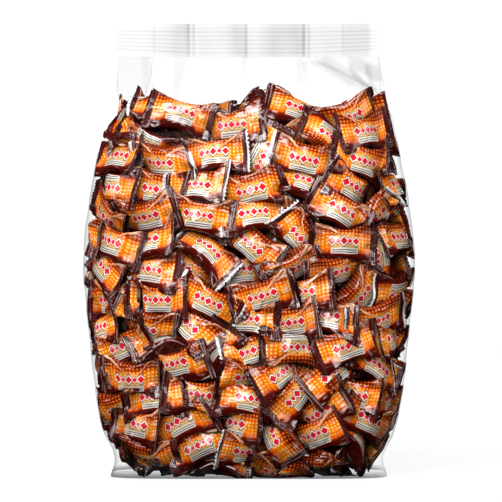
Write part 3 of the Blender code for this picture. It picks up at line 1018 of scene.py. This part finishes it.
def crease_depths(grid):
    """How far each point of the headspace is pressed in by the creases."""
    depths = np.zeros(grid.shape[:2])
    place = grid[..., [0, 2]]
    for side, x0, z0, x1, z1, width, depth in CREASES:
        share, gap = beside_line(place, x0, z0, x1, z1)
        fade = np.clip(1.0 + CREASE_LEAST - share, CREASE_LEAST, 1.0)
        pressed = depth * fade * np.exp(-((gap / width) ** 2))
        depths += np.where(grid[..., 1] * side > 0.0, pressed, 0.0)
    return depths


def head_shades(grid):
    """How much grey shade is painted on the folds of the empty film at each point of its front."""
    shades = np.zeros(grid.shape[:2])
    place = grid[..., [0, 2]]
    for x0, z0, x1, z1, width0, width1, grey0, grey1 in HEAD_SHADES:
        share, gap = beside_line(place, x0, z0, x1, z1)
        width = width0 + (width1 - width0) * share
        soft = 1.0 - smooth_rise(gap / width, *SHADE_EDGE)
        shades += (grey0 + (grey1 - grey0) * share) * soft
    return shades * (grid[..., 1] < 0.0)


def grid_normals(grid):
    """Outward directions of the film's rings."""
    round_way = np.roll(grid, -1, axis=1) - np.roll(grid, 1, axis=1)
    up_way = np.gradient(grid, axis=0)
    normals = np.cross(round_way, up_way)
    return normals / (np.linalg.norm(normals, axis=2)[..., None] + 1e-12)


def room_behind_film(grid, normals, heaps):
    """How far the film could move in at each point before it meets a sweet."""
    corners, faces, start = [], [], 0
    for heap in heaps:
        corners.append(points_of(heap))
        for face in heap.data.polygons:
            faces.append(tuple(start + corner for corner in face.vertices))
        start += len(heap.data.vertices)
    sweets = BVHTree.FromPolygons(np.concatenate(corners).tolist(), faces)
    room = np.full(grid.shape[:2], DEEPEST_SAG)
    for ring in range(grid.shape[0]):
        for step in range(grid.shape[1]):
            outward = Vector(normals[ring, step])
            from_point = Vector(grid[ring, step]) + RAY_START * outward
            hit = sweets.ray_cast(from_point, -outward, DEEPEST_SAG + RAY_START)
            if hit[0] is not None:
                room[ring, step] = hit[3] - RAY_START - FILM_CLEARANCE
    return room


def blurred(values):
    """Each value evened out with its neighbours up, down and round the film."""
    padded = np.pad(values, ((1, 1), (0, 0)), mode="edge")
    up_down = (padded[:-2] + 2.0 * padded[1:-1] + padded[2:]) / 4.0
    return (np.roll(up_down, 1, axis=1) + 2.0 * up_down + np.roll(up_down, -1, axis=1)) / 4.0


def clear_film(heaps):
    """The film, drawn in between the sweets that it rests on and creased where it is empty."""
    film, ring, step = film_places()
    grid = film_grid()
    normals = grid_normals(grid)
    room = room_behind_film(grid, normals, heaps)
    sag = np.zeros_like(room)
    for turn in range(SAG_STEPS):
        sag = np.minimum(blurred(blurred(sag)) + SAG_EACH_STEP, room)
    height = grid[..., 2]
    filled = 1.0 - smooth_rise(height, *FILLED_UP_TO)
    standing = smooth_rise(height, *STANDING_FROM)
    facing = np.abs(normals[..., 1])
    broad = EDGE_SAG + (1.0 - EDGE_SAG) * smooth_rise(facing, *EDGE_SAG_FACING)
    grid = grid - normals * (sag * filled * standing * broad)[..., None]
    loose = smooth_rise(height, *SWELL_FROM) * (1.0 - smooth_rise(height, SWELL_END, WEDGE_TOP))
    flat_grid = grid.reshape(-1, 3)
    swell = sum(crumple(flat_grid, scale, seed) * depth for scale, seed, depth in HEAD_SWELLS)
    grid = grid + normals * (swell.reshape(height.shape) * loose)[..., None]
    below_seal = 1.0 - smooth_rise(height, CREASE_END, WEDGE_TOP)
    pressed = crease_depths(grid) * (facing > 0.5) * below_seal
    grid[..., 1] -= np.sign(grid[..., 1]) * pressed
    set_points(film, grid[ring, step])
    # Shade painted on the empty film's folds, for its material to darken by
    mark_points(film.data, "fold_shade", "FLOAT", head_shades(grid)[ring, step])
    close_film_base(film)
    return film


def close_film_base(film):
    """Inset the flat base of the film so that its corners fold in evenly."""
    deselect_everything()
    film.select_set(True)
    bpy.context.view_layer.objects.active = film
    cage = open_for_editing(film, "FACE")
    for face in cage.faces:
        face.select_set(len(face.verts) > 4 and face.calc_center_median().z < BASE_FLAT)
    bmesh.update_edit_mesh(film.data)
    for inset in BASE_INSETS:
        bpy.ops.mesh.inset(thickness=inset, depth=0.0)
    bpy.ops.object.mode_set(mode="OBJECT")


def top_seal():
    """The band across the top, crimped in level ribs that rise a little towards its ends."""
    deselect_everything()
    middle = (SEAL_MIDDLE_X, 0.0, WEDGE_TOP + SEAL_HEIGHT / 2)
    bpy.ops.mesh.primitive_cube_add(size=1.0, location=middle)
    seal = bpy.context.active_object
    seal.name = "crimped_seal"
    seal.scale = (SEAL_WIDTH, SEAL_THICKNESS, SEAL_HEIGHT)
    bpy.ops.object.transform_apply(location=True, rotation=True, scale=True)
    cut_edges_along(seal, 2, SEAL_RIBS * CUTS_A_RIB - 1)
    cut_edges_along(seal, 0, SEAL_CUTS)
    x, y, z = points_of(seal).T
    outer = np.clip((np.abs(x) - SEAL_FOLD_X) / (SEAL_WIDTH / 2 - SEAL_FOLD_X), 0.0, 1.0)
    share = (z - WEDGE_TOP) / SEAL_HEIGHT
    rib_share = share - RIB_RISE * outer * (1.0 - share)
    ribbed = smooth_rise(rib_share, *RIBS_START) * (1.0 - smooth_rise(share, *RIBS_END))
    rib = np.cos(rib_share * SEAL_RIBS * 2.0 * math.pi)
    from_middle = np.abs(x - SEAL_MIDDLE_X)
    thinner = 1.0 - SEAL_THINNING * smooth_rise(from_middle, SEAL_THINS_FROM, SEAL_WIDTH / 2)
    y = y * 0.5 * thinner + SEAL_RIB_DEPTH * (rib * ribbed)
    y -= SEAL_BOW * outer**2
    for fold_x, depth in SEAL_FOLDS:
        y += depth * np.exp(-(((x - fold_x) / SEAL_FOLD_WIDTH) ** 2))
    drawn_out = np.stack([x, x * 0.0, z * SEAL_WAVE_DRAWN_OUT], axis=1)
    y += SEAL_WAVE[1] * crumple(drawn_out, SEAL_WAVE[0], 6.0)
    set_points(seal, np.stack([x, y, z], axis=1))
    # Shade painted on the seal's stripes, fold lines and ribs, kept for its material to darken by
    dark = seal_painted_shade(x, z, share)
    dark += RIB_SHADE * (0.5 + 0.5 * rib) * ribbed * (RIB_SHADE_LEAST + RIB_SHADE_MORE * dark)
    dark *= 1.0 - smooth_rise(from_middle, *SEAL_SHADE_END)
    mark_points(seal.data, "fold_shade", "FLOAT", dark)
    return seal


def seal_painted_shade(x, z, share):
    """How much shade is painted on the seal as stripes and fold lines, uneven along it and stronger near
    its top.
    """
    dark = SEAL_GREY * (1.0 - 0.5 * share)
    for low, high, soft, grey in SEAL_SHADES:
        before_end = 1.0 - smooth_rise(x, high - soft / 2, high + soft / 2)
        dark += grey * smooth_rise(x, low - soft, low + soft) * before_end
    for fold_x, grey in SEAL_FOLD_LINES:
        dark += grey * np.exp(-(((x - fold_x) / FOLD_LINE_WIDTH) ** 2))
    least, upward, scattered = SEAL_UNEVEN
    uneven = crumple(np.stack([x, x * 0.0, z * 0.5], axis=1), SEAL_UNEVEN_SCALE, 9.0)
    return dark * (least + upward * share + scattered * uneven)


def back_seam(film):
    """The flat strip down the middle of the back where the film is joined to itself."""
    deselect_everything()
    bpy.ops.mesh.primitive_grid_add(x_subdivisions=4, y_subdivisions=SEAM_ROWS, size=1.0)
    seam = bpy.context.active_object
    seam.name = "back_seam"
    points = points_of(seam)
    back = BVHTree.FromObject(film, bpy.context.evaluated_depsgraph_get())
    placed = []
    for x, y, z in points:
        height = SEAM_FOOT + (y + 0.5) * (WEDGE_TOP - SEAM_FOOT)
        across = x * SEAM_WIDTH
        hit = back.ray_cast(Vector((across, BEHIND_BAG, height)), Vector((0.0, -1.0, 0.0)))
        depth = hit[0].y if hit[0] is not None else film_section(height)[1]
        placed.append((-across, depth + SEAM_LIFT, height))
    set_points(seam, np.array(placed))
    thick = seam.modifiers.new("thickness", "SOLIDIFY")
    thick.thickness = SEAM_THICKNESS
    bpy.ops.object.modifier_apply(modifier="thickness")
    return seam


class Value:
    """A node's output. Sums, products and powers of it make the nodes that work them out."""

    def __init__(self, node, output=0):
        self.socket = node.outputs[output]

    def __add__(self, other):
        return calculated("ADD", self, other)

    def __sub__(self, other):
        return calculated("SUBTRACT", self, other)

    def __rsub__(self, other):
        return calculated("SUBTRACT", other, self)

    def __mul__(self, other):
        return calculated("MULTIPLY", self, other)

    def __truediv__(self, other):
        return calculated("DIVIDE", self, other)

    def __mod__(self, other):
        return calculated("MODULO", self, other)

    def __pow__(self, other):
        return calculated("POWER", self, other)

    def __abs__(self):
        return calculated("ABSOLUTE", self)


def put(socket, value):
    """Link a node's output, or set a plain value."""
    if isinstance(value, Value):
        socket.id_data.links.new(value.socket, socket)
    else:
        socket.default_value = value


def put_all(node, inputs):
    """Link or set several inputs of one node."""
    for place, value in inputs.items():
        put(node.inputs[place], value)


def tree_of(*values):
    """The node tree that the values belong to."""
    return next(value.socket.id_data for value in values if isinstance(value, Value))


def new_node(tree, kind, inputs=None):
    """A new node of a tree with its inputs."""
    node = tree.nodes.new("ShaderNode" + kind)
    put_all(node, inputs or {})
    return node


def calculated(operation, first, second=0.0):
    """A sum, product or other calculation in a material."""
    node = new_node(tree_of(first, second), "Math")
    node.operation = operation
    put_all(node, {0: first, 1: second})
    return Value(node)


def calculated_place(operation, first, second=(0.0, 0.0, 0.0)):
    """A calculation with places or colours, or with a place's length or product."""
    node = new_node(tree_of(first, second), "VectorMath")
    node.operation = operation
    put_all(node, {0: first, 1: second})
    return Value(node, "Value" if operation in ("DOT_PRODUCT", "LENGTH") else "Vector")


def three_parts(place):
    """The x, y and z of a place."""
    node = new_node(tree_of(place), "SeparateXYZ", {0: place})
    return [Value(node, axis) for axis in range(3)]


def eased(value, low, high):
    """0 to 1 between two limits, with soft ends."""
    node = new_node(tree_of(value), "MapRange")
    node.interpolation_type = "SMOOTHSTEP"
    put_all(node, {"Value": value, "From Min": low, "From Max": high})
    return Value(node, "Result")


def band(value, low, high, soft):
    """1 between two limits and 0 outside them."""
    return eased(value, low - soft, low + soft) * eased(value, high + soft, high - soft)


def painted(amount, under, over):
    """One colour laid over another by an amount."""
    node = new_node(tree_of(amount), "Mix")
    node.data_type = "RGBA"
    put_all(node, {0: amount, 6: under, 7: over})
    return Value(node, 2)


def named_value(tree, name, output="Fac"):
    """One of the mesh's own attributes."""
    node = new_node(tree, "Attribute")
    node.attribute_name = name
    return Value(node, output)


def object_place(tree):
    """Where a point of the piece lies, in metres."""
    return Value(new_node(tree, "TexCoord"), "Object")


def soft_noise(place, scale, **more):
    """Soft random values from 0 to 1."""
    return Value(new_node(tree_of(place), "TexNoise", {"Scale": scale, "Vector": place, **more}), "Fac")


def bumped(height, strength, distance):
    """The way the surface faces once a relief is laid over it."""
    inputs = {"Strength": strength, "Distance": distance, "Height": height}
    return Value(new_node(tree_of(height), "Bump", inputs))


def colour_bands(value, stops):
    """A run of colours along a value from 0 to 1."""
    node = new_node(tree_of(value), "ValToRGB", {0: value})
    ramp = node.color_ramp
    while len(ramp.elements) < len(stops):
        ramp.elements.new(0.5)
    for element, (place, colour) in zip(ramp.elements, stops):
        element.position = place
        element.color = (*colour, 1.0)
    return Value(node)


def oval(across, up, width, height):
    """Squared distance from an oval's middle, 1 on its edge."""
    x, y = across / width, up / height
    return x * x + y * y


def share_of_pitch(value, pitch):
    """How far a place on the print lies along its own part of a row, from 0 to 1."""
    return calculated("FRACT", (value + PRINT_START) / pitch)


def wrapper_ground(across, up):
    """The wrapper's ground: dark brown below, amber in the middle, dark red-brown above."""
    half_wrap = HALF_WRAP * MM
    ground = colour_bands((up + half_wrap) / (2.0 * half_wrap), GROUND_COLOURS)
    glow = eased(oval(across, up - GLOW_UP, *GLOW_SIZE), 1.0, 0.0)
    return painted(glow * GLOW_STRENGTH, ground, GLOW_COLOUR)


def wrapper_dots(across, up):
    """Amount of the small round dots printed in square rows."""
    x, y = (share_of_pitch(value, DOT_PITCH) - 0.5 for value in (across, up))
    dot = eased(oval(x, y, DOT_RADIUS, DOT_RADIUS), *DOT_EDGE)
    return dot * eased(up, *DOTS_START)


def lozenge(across, up, width, height):
    """0 in the middle of a lozenge, 1 on its edge."""
    return abs(across) / width + abs(up) / height


def label_marks(across, up, ground):
    """The label: lozenges, large and small by turns, on a white ribbon over plain strips."""
    colour = ground
    ticks = eased(share_of_pitch(across, TICK_PITCH), *TICK_EDGE)
    for rows, columns, ticked, shade in LABEL_STRIPS:
        inside = band(up, *rows[0])
        for row in rows[1:]:
            inside = inside + band(up, *row)
        inside = inside * band(across, *columns)
        colour = painted(inside * ticks if ticked else inside, colour, shade)
    height = up - RIBBON_UP
    run = band(across, -RIBBON_HALF_LENGTH, RIBBON_HALF_LENGTH, RIBBON_END_SOFT)
    ribbon = band(height, -RIBBON_HALF_WIDTH, RIBBON_HALF_WIDTH, RIBBON_SOFT) * run
    colour = painted(ribbon, colour, RIBBON_COLOUR)
    place = (across + RIBBON_HALF_LENGTH) / LOZENGE_PITCH
    cell = (calculated("FRACT", place) - 0.5) * LOZENGE_PITCH
    every_other = calculated("FLOOR", place) % 2.0
    size = 1.0 - every_other * LOZENGE_SMALLER
    for width, tall, shade in LOZENGE_SHADES:
        inside = eased(lozenge(cell, height, size * width, size * tall), *LOZENGE_EDGE)
        colour = painted(inside * run, colour, shade)
    return colour


def painted_fold_light(across, up, tone, ground):
    """Two pleats painted on each wrapper as a highlight with a shadow below, from a corner by the fins
    towards the middle.
    """
    colour = ground
    for turns, slope, lift, start in CORNER_FOLDS:
        chance = calculated("FRACT", tone * turns)
        away = across * (calculated("LESS_THAN", chance, 0.5) * 2.0 - 1.0)
        above = up - (away * slope + (chance * FOLD_SCATTER + (lift - FOLD_SCATTER / 2)))
        width = calculated("MAXIMUM", away, 0.0) * FOLD_SPREAD + FOLD_WIDTH
        placed = eased(away, start, start + FOLD_FADE)
        # Each pleat is painted as a dark shadow line and a pale highlight line
        for shift, strength, shade in FOLD_SHADOW_AND_HIGHLIGHT:
            amount = eased(abs(above / width - shift), *FOLD_EDGE) * strength
            colour = painted(amount * placed, colour, shade)
    return colour


def wrapper_wrinkles(print_place, tone, across):
    """Height of the film in millimetres: flat facets, each with its own lean, and pleats at the fins."""
    tree = tree_of(tone)
    own = Value(new_node(tree, "CombineXYZ", {"Z": tone * SWEETS_APART}))
    place = calculated_place("ADD", print_place, own)
    facets = new_node(tree, "TexVoronoi", {"Scale": FACET_SCALE, "Vector": place})
    from_middle = calculated_place("SUBTRACT", place, Value(facets, "Position"))
    lean = calculated_place("SUBTRACT", Value(facets, "Color"), (0.5, 0.5, 0.5))
    tilted = calculated_place("DOT_PRODUCT", from_middle, lean)
    drawn_out = calculated_place("MULTIPLY", place, PLEAT_STRETCH)
    pleats = soft_noise(drawn_out, PLEAT_SCALE, Detail=1.0)
    near_fin = eased(abs(across), *PLEATS_START)
    return tilted * FACET_HEIGHT + abs(pleats - 0.5) * (near_fin * PLEAT_HEIGHT)


def highlight_streaks(out, up, tone, scales, limits):
    """Soft painted highlight lines in the film, drawn out along the fin or away from the neck."""
    parts = {"X": out * scales[0], "Y": up * scales[1], "Z": tone * HIGHLIGHT_STREAKS_APART}
    place = Value(new_node(tree_of(out), "CombineXYZ", parts))
    return eased(soft_noise(place, 1.0, Detail=1.0), *limits)


def fins_and_necks(out, up, tone, ground):
    """Plain dark fins, a few with a white glint painted on the edge, and pale highlight streaks painted
    on them and along the necks.
    """
    fin = eased(out, *FIN_PRINT_START)
    # A white glint painted along the serrated edge of a few fins, as if they caught the light edge-on
    fin_glint = eased(tone, *GLINT_FINS) * eased(out, *GLINT_START)
    colour = painted(fin, ground, painted(fin_glint, FIN_COLOUR, GLINT_COLOUR))
    sheen = eased(calculated("FRACT", tone * SHEEN_TURNS), *SHEEN_SHARE)
    neck = eased(out, *NECK_START) * (1.0 - fin)
    # Pale highlight streaks painted on the fins and necks, stronger on wrappers picked for more painted
    # sheen
    for part, scales, limits, strength, least, shade in (
        (fin, *FIN_PAINTED_HIGHLIGHTS),
        (neck, *NECK_PAINTED_HIGHLIGHTS),
    ):
        lines = highlight_streaks(out, up, tone, scales, limits)
        colour = painted(lines * (part * (sheen * strength + least)), colour, shade)
    return colour


def new_material(name):
    """A new material with its node tree and its surface node."""
    material = bpy.data.materials.new(name)
    material.use_nodes = True
    tree = material.node_tree
    return material, tree, tree.nodes["Principled BSDF"]


def wrapper_material():
    """Glossy printed film: orange ground with dots, a label in the middle and plain dark fins."""
    material, tree, surface = new_material("printed_wrapper")
    print_place = named_value(tree, "print_place", "Vector")
    across, up, side = three_parts(print_place)
    tone = named_value(tree, "sweet_tone")
    ground = wrapper_ground(across, up)
    dot_colour = colour_bands(eased(up, *DOTS_FROM_TO), DOT_COLOURS)
    colour = painted(wrapper_dots(across, up), ground, dot_colour)
    in_front = calculated("LESS_THAN", side, 0.0)
    colour = painted(in_front, colour, label_marks(across, up, colour))
    colour = painted_fold_light(across, up, tone, colour)
    colour = fins_and_necks(named_value(tree, "fin_share"), up, tone, colour)
    shade = named_value(tree, "heap_shade") * SHADE_DARKNESS
    lightness = (tone * TONE_RANGE + (1.0 - TONE_RANGE / 2)) * (1.0 - shade)
    varied = new_node(tree, "HueSaturation", {"Value": lightness, "Color": colour})
    relief = bumped(wrapper_wrinkles(print_place, tone, across), 1.0, 1.0 / MM)
    put_all(surface, {
        "Base Color": Value(varied),
        "Roughness": PRINT_ROUGHNESS,
        "Specular IOR Level": 0.0,
        "Coat Weight": 1.0,
        "Coat IOR": WRAPPER_SHINE,
        "Coat Roughness": WRAPPER_BLUR,
        "Normal": relief,
        "Coat Normal": relief,
    })
    return material


def film_material(name, face_on, edge_on, steepness, crinkle_depth):
    """Clear film: nearly invisible face on, greyer where it turns away, with a thin glossy skin."""
    material, tree, surface = new_material(name)
    tree.nodes.remove(surface)
    place = object_place(tree)
    drawn_out = new_node(tree, "Mapping", {"Scale": (1.0, 1.0, 0.5), "Vector": place})
    crinkle = soft_noise(Value(drawn_out), CRINKLE_SCALE, Detail=2.0, Distortion=CRINKLE_WARP)
    relief = bumped(crinkle, CRINKLE_STRENGTH, crinkle_depth)
    turned = new_node(tree, "LayerWeight", {"Blend": 0.5, "Normal": relief})
    x, _, z = three_parts(place)
    empty = eased(z, *EMPTY_FILM)
    steep = Value(turned, "Facing") ** steepness * (1.0 - empty * EMPTY_CLEARER)
    right_ear = eased(x, *RIGHT_EAR_X) * eased(z, *RIGHT_EAR_Z)
    steep = steep * (1.0 - right_ear * RIGHT_EAR_CLEARER)
    tint = painted(steep, (*face_on, 1.0), (*edge_on, 1.0))
    # The film darkened by the shade painted on its folds and on the seal's ribs
    tint = painted(named_value(tree, "fold_shade"), tint, (0.0, 0.0, 0.0, 1.0))
    # A grey contact shadow painted on the film just above the floor, lighter towards the right end
    foot = eased(z, *CONTACT_SHADOW_TOP) * eased(z, *CONTACT_SHADOW_BASE)
    foot = foot * (1.0 - eased(x, *CONTACT_SHADOW_END) * CONTACT_SHADOW_END_CLEARER)
    tint = painted(foot * CONTACT_SHADOW_STRENGTH, tint, CONTACT_SHADOW_COLOUR)
    see_through = new_node(tree, "BsdfTransparent", {"Color": tint})
    skin = new_node(tree, "BsdfGlossy", {"Roughness": GLOSS_BLUR, "Normal": relief})
    gloss = steep * (EDGE_GLOSS - FILM_GLOSS) + FILM_GLOSS
    both = new_node(tree, "MixShader", {0: gloss, 1: Value(see_through), 2: Value(skin)})
    put(tree.nodes["Material Output"].inputs["Surface"], Value(both))
    return material


def plain_material(name, colour, roughness):
    """A plain finish with a slight mottle."""
    material, tree, surface = new_material(name)
    darker = [0.6 * part for part in colour]
    mottle = soft_noise(object_place(tree), 60.0)
    tint = painted(mottle, (*darker, 1.0), (*colour, 1.0))
    put_all(surface, {"Base Color": tint, "Roughness": roughness})
    return material


def floor_material():
    """The white of the floor, lit a little from within so that it stays white to its far edge."""
    material, tree, surface = new_material("studio_white")
    far = eased(calculated_place("LENGTH", object_place(tree)), *FLOOR_FAR)
    put_all(surface, {
        "Base Color": FLOOR_COLOUR,
        "Roughness": 1.0,
        "Specular IOR Level": 0.0,
        "Emission Color": (1.0, 1.0, 1.0, 1.0),
        "Emission Strength": far * FLOOR_FAR_GLOW + FLOOR_GLOW,
    })
    return material


def finish_piece(piece, material):
    """Give a piece its material and smooth faces, and say what it is part of."""
    piece.data.materials.clear()
    piece.data.materials.append(material)
    piece.data.shade_smooth()
    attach(piece, "root")
    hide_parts("filled_bag")


def studio():
    """A plain white floor and room, brighter to look at than in the gloss, with soft lamps."""
    deselect_everything()
    bpy.ops.mesh.primitive_plane_add(size=FLOOR_SIZE, location=(0.0, 0.0, 0.0))
    floor = bpy.context.active_object
    floor.name = "studio_floor"
    floor.data.materials.append(floor_material())
    floor.visible_glossy = False
    floor.visible_diffuse = False
    bpy.context.scene.world = studio_room()
    for name, place, size, brightness in LAMPS:
        soft_lamp(name, place, size, brightness)
    bpy.context.scene.view_settings.view_transform = "Standard"


def studio_room():
    """The white round the floor: bright to the camera, softer as light and dark in the gloss."""
    world = bpy.data.worlds.new("studio_room")
    world.use_nodes = True
    tree = world.node_tree
    ray = new_node(tree, "LightPath")
    direction = three_parts(Value(new_node(tree, "TexCoord"), "Generated"))
    from_above = eased(direction[2], -ROOM_HORIZON, ROOM_HORIZON)
    lit = Value(ray, "Is Diffuse Ray") * (ROOM_LIGHT - ROOM_GLOSS) * from_above
    seen = Value(ray, "Is Camera Ray") * (ROOM_SEEN - ROOM_GLOSS)
    strength = lit + seen + ROOM_GLOSS
    put_all(tree.nodes["Background"], {"Strength": strength, "Color": (1.0, 1.0, 1.0, 1.0)})
    return world


def turn_towards(thing, target):
    """Turn a lamp or the camera to look at a place."""
    way = Vector(target) - thing.location
    thing.rotation_euler = way.to_track_quat("-Z", "Y").to_euler()


def soft_lamp(name, place, size, brightness):
    """A soft rectangular lamp turned to the middle of the bag."""
    light = bpy.data.lights.new(name, "AREA")
    light.shape = "RECTANGLE"
    light.size, light.size_y = size
    light.energy = brightness * math.pi * size[0] * size[1]
    lamp = bpy.data.objects.new(name, light)
    bpy.context.scene.collection.objects.link(lamp)
    lamp.location = place
    turn_towards(lamp, LAMP_TARGET)
    return lamp


def front_camera():
    """A long lens level with the bag's middle, framed as the photograph is."""
    metres_a_pixel = BAG_HEIGHT / BAG_PIXELS
    lens = bpy.data.cameras.new("front_camera")
    camera = bpy.data.objects.new("front_camera", lens)
    bpy.context.scene.collection.objects.link(camera)
    lens.sensor_width = SENSOR
    lens.lens = SENSOR * CAMERA_DISTANCE / (FRAME_PIXELS * metres_a_pixel)
    middle_x = (FRAME_PIXELS / 2 - PHOTO_MIDDLE_X) * metres_a_pixel
    middle_z = (PHOTO_BASE_Y - FRAME_PIXELS / 2) * metres_a_pixel
    camera.location = (middle_x, -CAMERA_DISTANCE, CAMERA_HEIGHT)
    turn_towards(camera, (middle_x, 0.0, middle_z))
    bpy.context.scene.camera = camera


middles, alongs, ups = sweets_on_top(*settled_sweets())
heaps = heap_of_sweets(middles, alongs, ups)
core = shadow_core()
film = clear_film(heaps)
seam = back_seam(film)
seal = top_seal()

wrapper = wrapper_material()
for heap in heaps:
    finish_piece(heap, wrapper)
# The core's dark colour is painted shade for the hidden middle of the heap
finish_piece(core, plain_material("heap_shadow", (0.020, 0.007, 0.005), 0.7))
for piece, name, face_on, edge_on, steepness, crinkle_depth in (
    (film, "clear_film", (0.996, 0.996, 0.996), (0.66, 0.67, 0.68), 2.4, 0.003),
    (seam, "seam_film", (0.998, 0.998, 0.998), (0.92, 0.92, 0.92), 2.4, 0.0005),
    (seal, "seal_film", (0.998, 0.998, 0.998), (0.86, 0.86, 0.86), 2.0, 0.0005),
):
    finish_piece(piece, film_material(name, face_on, edge_on, steepness, crinkle_depth))
studio()
front_camera()
